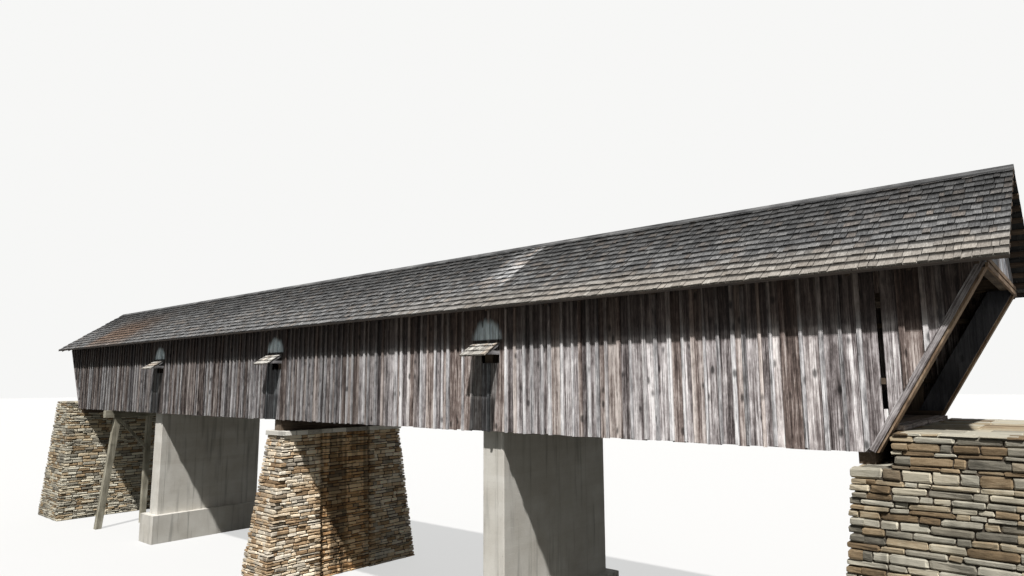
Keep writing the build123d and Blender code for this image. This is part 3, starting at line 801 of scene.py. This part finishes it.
near_under, near_over = cover_hoods(HOODS, 61)
far_under, far_over = cover_hoods([(-right, -left) for left, right in HOODS], 62)
fit("hood_sheathing", join_copies(BOARD, gather([near_under, half_turn(far_under)])),
    weathered_boards("hood_sheathing_boards", BROWN, BROWN), "framing_timber")
fit("hood_shingles", join_copies(SHINGLE, gather([near_over, half_turn(far_over)])),
    old_shingles("hood_old_shingles", CREAM), "wood_shingle", "hoods")

# %% [markdown]
# ## Rubble masonry
# The pier and the abutments are dry laid from thin flat stones in rough courses. Behind the faces is a
# core, painted near black, which only shows in the joints as their painted shade. Each course is a ring
# of stones round the plan at its level. At a corner the stones of the two faces take turns to run through, as
# a mason bonds them.

# %% A stone and a ring of stones
STONE = block((0.35, 0.15, 0.09), long_axis=0, ease=0.018,
              eased=lambda e: min(v.co.y for v in e.verts) < HAIR)
QUOIN_DEEP, STONE_DEEP, INNER_LAP = 0.22, 0.13, 0.08
THINNEST, NARROWEST, JOINT_WIDE, SETBACK = 0.06, 0.05, 0.03, 0.05


def course_levels(foot, top, thick, chance):
    """The levels between courses up to that thick, from foot to top."""
    levels = foot + np.cumsum([0.0, *chance.uniform(THINNEST, thick, int((top - foot) / THINNEST))])
    return np.array([*levels[levels < top - THINNEST * 0.6], top])


def corner_cut(plan, n, turn):
    """How far a row stops short of a corner: behind the other face's stone, or past an inner corner."""
    before, here, after = (plan[(n + k) % len(plan)] for k in (-1, 0, 1))
    first, second = here - before, after - here
    if first[0] * second[1] - first[1] * second[0] < 0:
        return -INNER_LAP
    return QUOIN_DEEP if turn % 2 else 0.0


def ring_rows(plan, course, low, high, chance, short, long):
    """Each stone of a course: its start, direction, way in, length, depth, levels and lean."""
    here, above = plan((low + high) / 2), plan((low + high) / 2 + 1.0)
    rows = []
    for n in range(len(here)):
        a, b = here[n], here[(n + 1) % len(here)]
        long_way = np.linalg.norm(b - a)
        along = (b - a) / long_way
        inward = np.array([-along[1], along[0]])
        lean = (above[n] - a) @ inward
        first = corner_cut(here, n, course + n)
        last = long_way - corner_cut(here, n + 1, course + n)
        if last - first < NARROWEST:
            continue
        joints = piece_ends(first, last, short, long, chance)
        for start, end in zip(joints[:-1], joints[1:]):
            at_corner = start < HAIR or end > long_way - HAIR
            deep = QUOIN_DEEP if at_corner else STONE_DEEP
            rows.append([*(a + along * start), *along, *inward, end - start, deep, low, high, lean])
    return rows


def walled(plan, foot, top, thick, long, chance):
    """The stones of all courses, up to that thick, and from the least to the most length."""
    levels = course_levels(foot, top, thick, chance)
    return [row for course, (low, high) in enumerate(zip(levels[:-1], levels[1:]))
            for row in ring_rows(plan, course, low, high, chance, *long)]


def lay_rubble(rows, chance):
    """Stones with worn faces, each set back a little by its own amount."""
    rows = np.array(rows)[:, None, :]
    start, along, inward = rows[..., 0:2], rows[..., 2:4], rows[..., 4:6]
    length, deep, low, high, lean = (rows[..., k] for k in range(6, 11))
    vary = varied(chance, len(rows))
    across, depth, rise = STONE.corners.T
    face = depth < 0.5

    def worn(least, most):
        """A small random move of each corner of the face."""
        return face * chance.uniform(least, most, (len(rows), len(across)))

    gap, crack = (vary(0.3 * JOINT_WIDE, JOINT_WIDE) for _ in range(2))
    side = gap / 2 + across * (length - gap)
    side = side + (rise - 0.5) * vary(-0.012, 0.012)
    z = low + crack / 2 + rise * (high - low - crack)
    z = z + (across - 0.5) * vary(-0.01, 0.01)
    back = vary(0.0, SETBACK) + depth * deep + lean * (z - (low + high) / 2)
    back = back + worn(0, 0.02)
    side = np.clip(side + worn(-0.012, 0.012), 0, length)
    z = np.maximum(z + worn(-0.006, 0.006), 0.0)
    flat = start + side[..., None] * along + back[..., None] * inward
    return with_grain(chance, np.concatenate([flat, z[..., None]], axis=-1), side, back, z)


# %% [markdown]
# ## The finish of the stones
# The stones are a tan and orange sandstone with grey and brown ones between, mottled and stained where
# water runs. A tone for each stone picks its colour; noise of two sizes breaks it up. Faces turned towards
# the ends of the bridge are painted lighter and the other faces darker, as painted light and shade.

# %% Rubble stone
SAND = [(0.0, (0.1, 0.075, 0.055)), (0.3, (0.33, 0.24, 0.155)), (0.55, (0.55, 0.43, 0.3)),
        (0.8, (0.68, 0.59, 0.46)), (1.0, (0.85, 0.8, 0.7))]
GREY = [(0.0, (0.09, 0.085, 0.08)), (0.5, (0.4, 0.38, 0.34)), (1.0, (0.78, 0.76, 0.7))]
NOSE_START, NOSE_PROUD = 1.0, 0.1


def rubble_stone(name, grey_share, tint=(1.0, 1.0, 1.0), stained=False):
    """Flat rubble in tan, orange and grey, with the pier's body browner and stained if asked for, and painted
    light on faces turned to the bridge's ends.
    """
    rock = Finish(name)
    grain, tone, place = rock.kept("grain", "Vector"), rock.kept("tone"), rock.place()
    grit = rock.noise(grain, 60.0, 4.0, 0.7)
    bed = rock.noise(grain, (9.0, 9.0, 45.0), 3.0)
    cloud = rock.noise(place, 0.8, 3.0)
    pick = tone * 0.95 + bed * 0.6 + grit * 0.4 + cloud * 0.4 - 0.48
    grey = (tone * 9.1).math("FRACT").step(0.9 - grey_share, 1.1 - grey_share)
    colour = rock.mix(grey, rock.ramp(pick, SAND), rock.ramp(pick, GREY))
    lichen = rock.noise(place, 14.0, 4.0, 0.7).step(0.6, 0.7)
    colour = rock.tint(rock.mix(lichen * 0.35, colour, (0.2, 0.2, 0.17)), tint)
    stain = rock.noise(place, (2.2, 2.2, 0.35), 3.0).step(0.55, 0.72) * 0.3
    if stained:
        across = abs(place.part(1) + (cloud - 0.5) * 0.9)
        body = across.fall(NOSE_START - 0.2, NOSE_START + 0.25)
        colour = rock.mix(body, colour, rock.tint(colour, (1.0, 0.84, 0.66)))
        stain = stain + rock.noise(place, (2.6, 2.6, 0.1), 2.0).step(0.5, 0.62) * body * 0.55
    # Painted light and shade: faces turned towards the ends of the bridge are painted lighter, the others
    # darker.
    painted_side_light = abs(rock.add("ShaderNodeNewGeometry", {}, {}, "True Normal").part(0))
    colour = rock.shade(colour, (1.0 - stain) * painted_side_light.step(0.3, 0.8, 0.72, 1.35))
    return rock.end(colour, 0.86 + grit * 0.12, bed * 0.6 + grit * 0.6, 0.012)


pier_rubble = rubble_stone("pier_rubble", 0.3, (1.0, 0.93, 0.84), True)
abutment_rubble = rubble_stone("abutment_rubble", 0.55, (0.72, 0.7, 0.63))
cap_rubble = rubble_stone("pier_cap_stone", 0.9)

# %% The dark core behind the stones, painted near black as the shade in the joints
CORE_INSET = 0.085
core_shade_finish = Finish("rubble_core_shade")
core_grit = core_shade_finish.noise(core_shade_finish.place(), 18.0, 4.0)
# The core is painted near black, as the shade seen through the joints.
JOINT_SHADE_DARK = [(0.0, (0.015, 0.012, 0.01)), (1.0, (0.1, 0.08, 0.06))]
core_shade_finish.end(core_shade_finish.ramp(core_grit, JOINT_SHADE_DARK), 0.95, core_grit, 0.02)


def fit_core(name, blocks, turned=False):
    """A core of blocks, each from one rectangle up to another, given as x from and to and y from and to."""
    bm = bmesh.new()
    for low_plan, high_plan, low, high in blocks:
        for corner in bmesh.ops.create_cube(bm, size=1)["verts"]:
            plan, z = (low_plan, low) if corner.co.z < 0 else (high_plan, high)
            x = plan[0] if corner.co.x < 0 else plan[1]
            y = plan[2] if corner.co.y < 0 else plan[3]
            corner.co = (x, y, z)
    bmesh.ops.rotate(bm, verts=bm.verts, matrix=Matrix.Rotation(math.pi if turned else 0, 3, "Z"))
    fit(name, to_mesh(bm), core_shade_finish, "rubble_stone")


# %% The centre pier
pier_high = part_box("stone_pier")[1]
cap_low, cap_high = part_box("stone_pier_cap")
CAP_LAP = 0.03
PIER_TOP = pier_high.z
PIER_COURSE, PIER_LENGTHS = 0.14, (0.14, 0.55)


def pier_plan(z):
    """The pier's outline at a level, counter-clockwise, with a wider nose at each end."""
    share = 1 - z / PIER_TOP
    half_wide, half_long = (top - CAP_LAP + share * (foot - top + CAP_LAP)
                            for top, foot in zip(cap_high.xy, pier_high.xy))
    body = half_wide - NOSE_PROUD
    quarter = [(half_wide, -half_long), (half_wide, -NOSE_START), (body, -NOSE_START)]
    right = quarter + [(x, -y) for x, y in reversed(quarter)]
    return np.array(right + [(-x, -y) for x, y in right])


def pier_core(turn, plan):
    """The rectangle of the core in the left nose, the body or the right nose of the pier."""
    half_wide = plan[0][0] - CORE_INSET - (0 if turn else NOSE_PROUD)
    nose, tip = NOSE_START + CORE_INSET, -plan[0][1] - CORE_INSET
    ends = sorted((turn * nose, turn * tip)) if turn else (-NOSE_START, NOSE_START)
    return (-half_wide, half_wide, *ends)


chance = np.random.default_rng(71)
rows = walled(pier_plan, 0.0, PIER_TOP, PIER_COURSE, PIER_LENGTHS, chance)
fit("pier_stones", join_copies(STONE, lay_rubble(rows, chance)), pier_rubble, "rubble_stone", "stone_pier")
foot_plan, top_plan = pier_plan(0.0), pier_plan(PIER_TOP)
fit_core("pier_core", [(pier_core(turn, foot_plan), pier_core(turn, top_plan), 0.0, PIER_TOP - HAIR)
                       for turn in (-1, 0, 1)])

# %% [markdown]
# ## Flat tops of the masonry
# The pier's cap and the shelves and backs of the abutments are paved with larger flat stones. A slab is
# the same idea as a board: one block with its edges eased, laid in rows.

# %% Slabs on the cap
SLAB = block((0.6, 0.5, 0.15), long_axis=0, ease=0.012)
STRIP_WIDTHS, SLAB_SHORTEST = (0.35, 0.7), 0.4


def lay_slabs(rows, chance, uneven=0.006):
    """Flat stones, each row giving x from and to, y from and to, and z from and to."""
    bounds = np.array(rows)[:, None, :]
    vary = varied(chance, len(bounds))
    u, v, w = SLAB.corners.T
    gap = vary(0.004, 0.012)
    x = bounds[..., 0] + gap / 2 + u * (bounds[..., 1] - bounds[..., 0] - gap)
    y = bounds[..., 2] + gap / 2 + v * (bounds[..., 3] - bounds[..., 2] - gap)
    z = bounds[..., 4] + w * (bounds[..., 5] - bounds[..., 4] - vary(0.0, uneven))
    worn = chance.uniform(-0.004, 0.004, (3, len(bounds), len(u)))
    points = np.stack([x + worn[0], y + worn[1], z - np.abs(worn[2])], axis=-1)
    return with_grain(chance, points, x, y, z)


def slab_rows(x_from, x_to, half_long, z_from, z_to, chance, y_from=None, long=0.9):
    """Rows of slabs over a rectangle that reaches as far to both sides, unless y_from says otherwise."""
    rows = []
    strips = piece_ends(-half_long if y_from is None else y_from, half_long, *STRIP_WIDTHS, chance)
    for low, high in zip(strips[:-1], strips[1:]):
        narrow = x_to - x_from < SLAB_SHORTEST + 0.1
        joints = [x_from, x_to] if narrow else piece_ends(x_from, x_to, SLAB_SHORTEST, long, chance)
        rows += [[a, b, low, high, z_from, z_to] for a, b in zip(joints[:-1], joints[1:])]
    return rows


chance = np.random.default_rng(81)
rows = []
for y_from, y_to in ((cap_low.y, -NOSE_START), (-NOSE_START, NOSE_START), (NOSE_START, cap_high.y)):
    half_wide = cap_high.x - (NOSE_PROUD if y_from + y_to == 0 else 0.0)
    rows += slab_rows(-half_wide, half_wide, y_to, cap_low.z, cap_high.z, chance, y_from, 1.3)
cap_slabs = join_copies(SLAB, lay_slabs(rows, chance, 0.0))
fit("pier_cap_slabs", cap_slabs, cap_rubble, "rubble_stone", "stone_pier_cap")

# %% The two abutments
ABUTMENT_BATTER, PAVING = 0.08, 0.09
ABUTMENT_COURSE, ABUTMENT_LENGTHS = 0.15, (0.16, 0.62)
abutment_low, abutment_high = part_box("abutment_right")
SHELF, ABUTMENT_TOP, ABUTMENT_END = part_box("abutment_sills")[0].z, abutment_high.z, abutment_high.x
back_wall = min(c.x for c in corners("abutment_right") if c.z > ABUTMENT_TOP - HAIR)


def half_across(z):
    """Half the right abutment's width at a level."""
    return abutment_high.y - z * ABUTMENT_BATTER


def inner_face(z):
    """Where the abutment's inner face lies at a level."""
    return abutment_low.x + z * ABUTMENT_BATTER


def outline(face):
    """The plan from a face to the abutment's end, counter-clockwise, as a function of the level."""
    def plan(z):
        x, y = face(z), half_across(z)
        return np.array([(x, -y), (ABUTMENT_END, -y), (ABUTMENT_END, y), (x, y)])
    return plan


def core_plan(face, z):
    """The core's rectangle behind a face at a level."""
    half_wide = half_across(z) - CORE_INSET
    return face(z) + CORE_INSET, ABUTMENT_END - CORE_INSET, -half_wide, half_wide


def abutment(side, seed):
    """Stones, slabs and core of one abutment."""
    chance = np.random.default_rng(seed)
    tiers = ((inner_face, 0.0, SHELF), (lambda z: back_wall, SHELF, ABUTMENT_TOP))
    rows = []
    for face, foot, top in tiers:
        rows += walled(outline(face), foot, top, ABUTMENT_COURSE, ABUTMENT_LENGTHS, chance)
    stones = lay_rubble(rows, chance)
    rows = []
    for x_from, x_to, top in ((inner_face(SHELF) + STONE_DEEP, back_wall, SHELF),
                              (back_wall + STONE_DEEP, ABUTMENT_END - STONE_DEEP, ABUTMENT_TOP)):
        rows += slab_rows(x_from, x_to, half_across(top) - STONE_DEEP, top - PAVING, top, chance)
    slabs = lay_slabs(rows, chance)
    if side == "left":
        stones, slabs = half_turn(stones), half_turn(slabs)
    stone_mesh, slab_mesh = join_copies(STONE, stones), join_copies(SLAB, slabs)
    fit(f"{side}_abutment_stones", stone_mesh, abutment_rubble, "rubble_stone", f"abutment_{side}")
    fit(f"{side}_abutment_slabs", slab_mesh, abutment_rubble, "rubble_stone")
    levels = (0.0, SHELF - PAVING, ABUTMENT_TOP - PAVING)
    blocks = [(core_plan(face, low), core_plan(face, high), low, high)
              for (face, *_), low, high in zip(tiers, levels, levels[1:])]
    fit_core(f"{side}_abutment_core", blocks, side == "left")


abutment("right", 91)
abutment("left", 92)

# %% [markdown]
# ## Cast concrete piers
# The two later piers were cast in lifts behind boards, so fine ridges run round them at each board. Each
# lift is one block with a wide chamfer at its upright corners, and no two lifts are quite the same size.

# %% Concrete finish
CONCRETE = [(0.0, (0.24, 0.22, 0.185)), (0.45, (0.5, 0.475, 0.425)), (1.0, (0.74, 0.73, 0.69))]
SHEET_WIDE = 0.61


def old_concrete(name):
    """Pale board-marked concrete with water stains."""
    cast = Finish(name)
    place = cast.place()
    grit = cast.noise(place, 70.0, 4.0, 0.7)
    cloud = cast.noise(place, 1.3, 4.0)
    run = cast.noise(place, (5.0, 5.0, 0.4), 3.0).step(0.5, 0.75)
    sheet = (place.part(0) + place.part(1)).math("PINGPONG", SHEET_WIDE)
    seam = sheet.fall(0.0, 0.012)
    pick = cloud * 0.75 + grit * 0.5 + cast.kept("tone") * 0.1 - 0.02
    pits = cast.noise(place, 38.0, 2.0).step(0.68, 0.74)
    colour = cast.shade(cast.ramp(pick, CONCRETE), 1.0 - run * 0.35 - seam * 0.25 - pits * 0.3)
    return cast.end(colour, 0.85 + grit * 0.1, grit * 0.4 - seam - pits, 0.006)


concrete = old_concrete("old_concrete")

# %% The lifts of both piers and both footings
CHAMFER, FINE_CHAMFER = 0.025, 0.002
PIER_LIFT, FOOTING_LIFT, LIFT_SLACK = 0.15, 0.36, 0.0025


def lift_block(size):
    """A block with a wide chamfer at its upright edges and a fine one round its top and bottom."""
    bm = whole_block(size)
    for wide, upright in ((CHAMFER, True), (FINE_CHAMFER, False)):
        ease_edges(bm, [e for e in bm.edges if runs_along(e, 2) == upright], wide)
    return read_shape(bm, size)


def cast_lifts(name, node, lift):
    """Both piers or both footings, as lifts of about that height."""
    low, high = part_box(node)
    inner_x = min(c.x for c in corners(node) if c.x > 0)
    size = (high.x - inner_x, high.y - low.y, lift)
    shape = lift_block(size)
    chance = np.random.default_rng(101)
    count = round((high.z - low.z) / lift)
    edges = np.linspace(low.z, high.z, count + 1)
    u, v, w = shape.corners.T
    z = edges[:-1, None] + w * (edges[1:] - edges[:-1])[:, None]
    batches = []
    for x in (-(inner_x + high.x) / 2, (inner_x + high.x) / 2):
        slack_x, slack_y = chance.uniform(0.0, LIFT_SLACK, (2, count, 1))
        places = (x + (u - 0.5) * (size[0] - slack_x), (v - 0.5) * (size[1] - slack_y), z)
        batches.append(with_grain(chance, np.stack(places, axis=-1), *places))
    fit(name, join_copies(shape, gather(batches)), concrete, "old_concrete", node)


cast_lifts("concrete_pier_lifts", "concrete_piers", PIER_LIFT)
cast_lifts("footing_lifts", "concrete_footings", FOOTING_LIFT)

# %% [markdown]
# ## Deck planks
# The roadway is heavy planks across the stringers, worn smooth and brown, with open joints.

# %% Planks of the deck
PLANK_WIDTHS = (0.18, 0.28)
deck_low, deck_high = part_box("deck")
chance = np.random.default_rng(111)
deck_face = Face((0, 0, deck_high.z), (1, 0, 0), (0, 0, -1), (0, 1, 0))
joints = piece_ends(deck_low.x, deck_high.x, *PLANK_WIDTHS, chance)
planks = lay_boards(deck_face, joints[:-1], joints[1:] - BOARD_GAP, level(deck_low.y), level(deck_high.y),
                    deck_high.z - deck_low.z, chance, -0.004)
deck_finish = weathered_boards("deck_planks", BROWN)
fit("deck_planks", join_copies(BOARD, planks), deck_finish, "deck_plank", "deck")

# %% [markdown]
# ## Finishes of the timbers that the frame already has
# Posts, plates, rafters and braces are right as they are. They only need wood whose grain runs
# along them, so one finish is made for each direction, with the grain's axes swapped round.

# %% Timber by the way its grain runs
GRAIN_AXES = {"x": (1, 2, 0), "y": (2, 0, 1), "z": (0, 1, 2)}


def timber(name, axis, stops, cell=1.7, edge=False):
    """Sawn timber with its grain along one axis, its tone changing from piece to piece. With edge, the outer
    edge of the eave is painted dark, as painted shade.
    """
    wood = Finish(name)
    place = wood.place()
    parts = [place.part(n) for n in GRAIN_AXES[axis]]
    grain = wood.add("ShaderNodeCombineXYZ", {}, dict(enumerate(parts)))
    mark, streak, fibre, checks, knots = wood_marks(wood, grain)
    pick = wood.noise(place, cell, 0.0) * 0.9 + mark * 0.6
    colour = wood.shade(wood.ramp(pick, stops), 1.0 - checks * 0.5 - knots * 0.4)
    # The lath at the eave's outer edge is painted near black, as the shade under the eave.
    if edge:
        colour = wood.shade(colour, abs(place.part(1)).step(EAVE_Y - 0.12, EAVE_Y - 0.06, 1.0, 0.15))
    return wood.end(colour, 0.8 + streak * 0.15, streak * 0.5 + fibre * 0.35 - checks, 0.004)


TIMBER = [(0.0, (0.04, 0.03, 0.022)), (0.5, (0.12, 0.09, 0.066)), (1.0, (0.25, 0.2, 0.155))]
OUTDOOR = [(0.0, (0.13, 0.12, 0.09)), (0.5, (0.33, 0.31, 0.245)), (1.0, (0.58, 0.56, 0.47))]
TAN = [(0.0, (0.1, 0.065, 0.042)), (0.5, (0.26, 0.18, 0.12)), (1.0, (0.45, 0.35, 0.25))]
INK = [(0.0, (0.02, 0.021, 0.026)), (0.5, (0.055, 0.058, 0.07)), (1.0, (0.14, 0.145, 0.165))]
carried = {
    timber("timber_along", "x", TIMBER): ("bottom_chord", "wall_plate", "girts", "stringers"),
    timber("timber_across", "y", TIMBER): (
        "tie_beams", "floor_beams", "abutment_sills", "pier_bearing_beam"),
    timber("timber_upright", "z", TIMBER): ("truss_posts", "truss_braces"),
    timber("outdoor_upright", "z", OUTDOOR): ("bent_posts", "bent_braces"),
    timber("outdoor_across", "y", OUTDOOR): ("bent_cap",),
    timber("rafter_wood", "y", BROWN): ("rafters",),
    timber("lath_wood", "x", BROWN, 3.1, True): ("lath",),
    timber("ridge_wood", "x", ASH): ("ridge_board",),
    timber("rake_wood", "z", TAN): ("raking_planks", "rake_studs"),
    timber("header_wood", "y", TAN): ("portal_headers",),
    timber("lining_wood", "z", INK): ("rake_linings",),
    timber("bracket_wood", "y", BLEACHED): ("hood_brackets",),
}
finished = 0
for node, holder in nodes.items():
    for finish, names in carried.items():
        if node.removeprefix("near_").removeprefix("far_") in names:
            finished += 1
            for part in holder.material_slots:
                part.material = finish.material
print("timbers finished:", finished)

# %% [markdown]
# ## Camera
# The camera stands low beside one end of the bridge and looks along it, a little up.

# %% Set up the camera
EYE = Vector((20.76, -14.935, 6.336))
YAW, PITCH, ROLL = math.radians(130.2), math.radians(7.93), math.radians(-0.26)
FOCAL_PIXELS, FRAME_PIXELS = 685.909, 1024
SENSOR = 36.0
ahead = Vector((math.cos(PITCH) * math.cos(YAW), math.cos(PITCH) * math.sin(YAW), math.sin(PITCH)))
level_right = ahead.cross(Vector((0, 0, 1))).normalized()
level_up = level_right.cross(ahead)
right = level_right * math.cos(ROLL) + level_up * math.sin(ROLL)
up = level_up * math.cos(ROLL) - level_right * math.sin(ROLL)
camera = add_object("camera", bpy.data.cameras.new("camera"))
camera.data.sensor_width = SENSOR
camera.data.lens = SENSOR * FOCAL_PIXELS / FRAME_PIXELS
camera.data.clip_end = 1000.0
camera.matrix_world = Matrix.Translation(EYE) @ Matrix((right, up, -ahead)).transposed().to_4x4()
bpy.context.scene.camera = camera
print("lens", round(camera.data.lens, 2), "mm")

# %% [markdown]
# ## Floor and light
# The floor and the background are plain and pale. Their paleness is for the camera alone: other rays meet a
# duller floor, so that it doesn't fill the shade under the bridge with light. One lamp stands for
# the sun, soft enough for a studio, from the front and a little from the right.

# %% Floor
FLOOR_HALF = 400.0
PAPER = (0.93, 0.93, 0.92, 1.0)


def seen(graph):
    """1 for the rays that show the floor or the background, by themselves or in gloss or glass."""
    kinds = ("Is Camera Ray", "Is Glossy Ray", "Is Transmission Ray")
    rays = [graph.add("ShaderNodeLightPath", {}, {}, kind) for kind in kinds]
    return rays[0].math("MAXIMUM", rays[1]).math("MAXIMUM", rays[2])


floor_finish = Finish("pale_floor")
shown = seen(floor_finish)
floor_finish.send({"Base Color": floor_finish.mix(shown, (0.09, 0.09, 0.08), (0.2, 0.2, 0.2)),
                   "Emission Color": PAPER, "Emission Strength": shown * 0.65, "Roughness": 0.9})
bm = bmesh.new()
bmesh.ops.create_grid(bm, x_segments=1, y_segments=1, size=FLOOR_HALF)
floor = add_object("floor", to_mesh(bm))
floor.data.materials.append(floor_finish.material)

# %% Background and lamp
SUN_FROM = Vector((0.55, -1.0, 1.8))
SUN_POWER, SUN_SOFT = 5.5, math.radians(1.5)
BACKDROP_POWER = 0.15

world = bpy.data.worlds.new("studio")
bpy.context.scene.world = world
world.use_nodes = True
backdrop = Graph(world.node_tree)
lit = backdrop.add("ShaderNodeBackground", {}, {"Color": (0.95, 0.98, 1.0, 1.0), "Strength": BACKDROP_POWER})
paper = backdrop.add("ShaderNodeBackground", {}, {"Color": PAPER, "Strength": 1.0})
both = backdrop.add("ShaderNodeMixShader", {}, {0: seen(backdrop), 1: lit, 2: paper})
backdrop.join(both, backdrop.tree.nodes["World Output"].inputs["Surface"])

sun = add_object("sun", bpy.data.lights.new("sun", "SUN"))
sun.data.energy = SUN_POWER
sun.data.angle = SUN_SOFT
sun.data.color = (1.0, 0.975, 0.94)
sun.rotation_euler = SUN_FROM.to_track_quat("Z", "Y").to_euler()
bpy.context.scene.view_settings.view_transform = "Standard"

# %% [markdown]
# ## Close the scene
# The triangles of all the added pieces are counted.

# %% Count the triangles and finish
print("triangles added:", sum(made.values()), "in", len(made), "pieces")
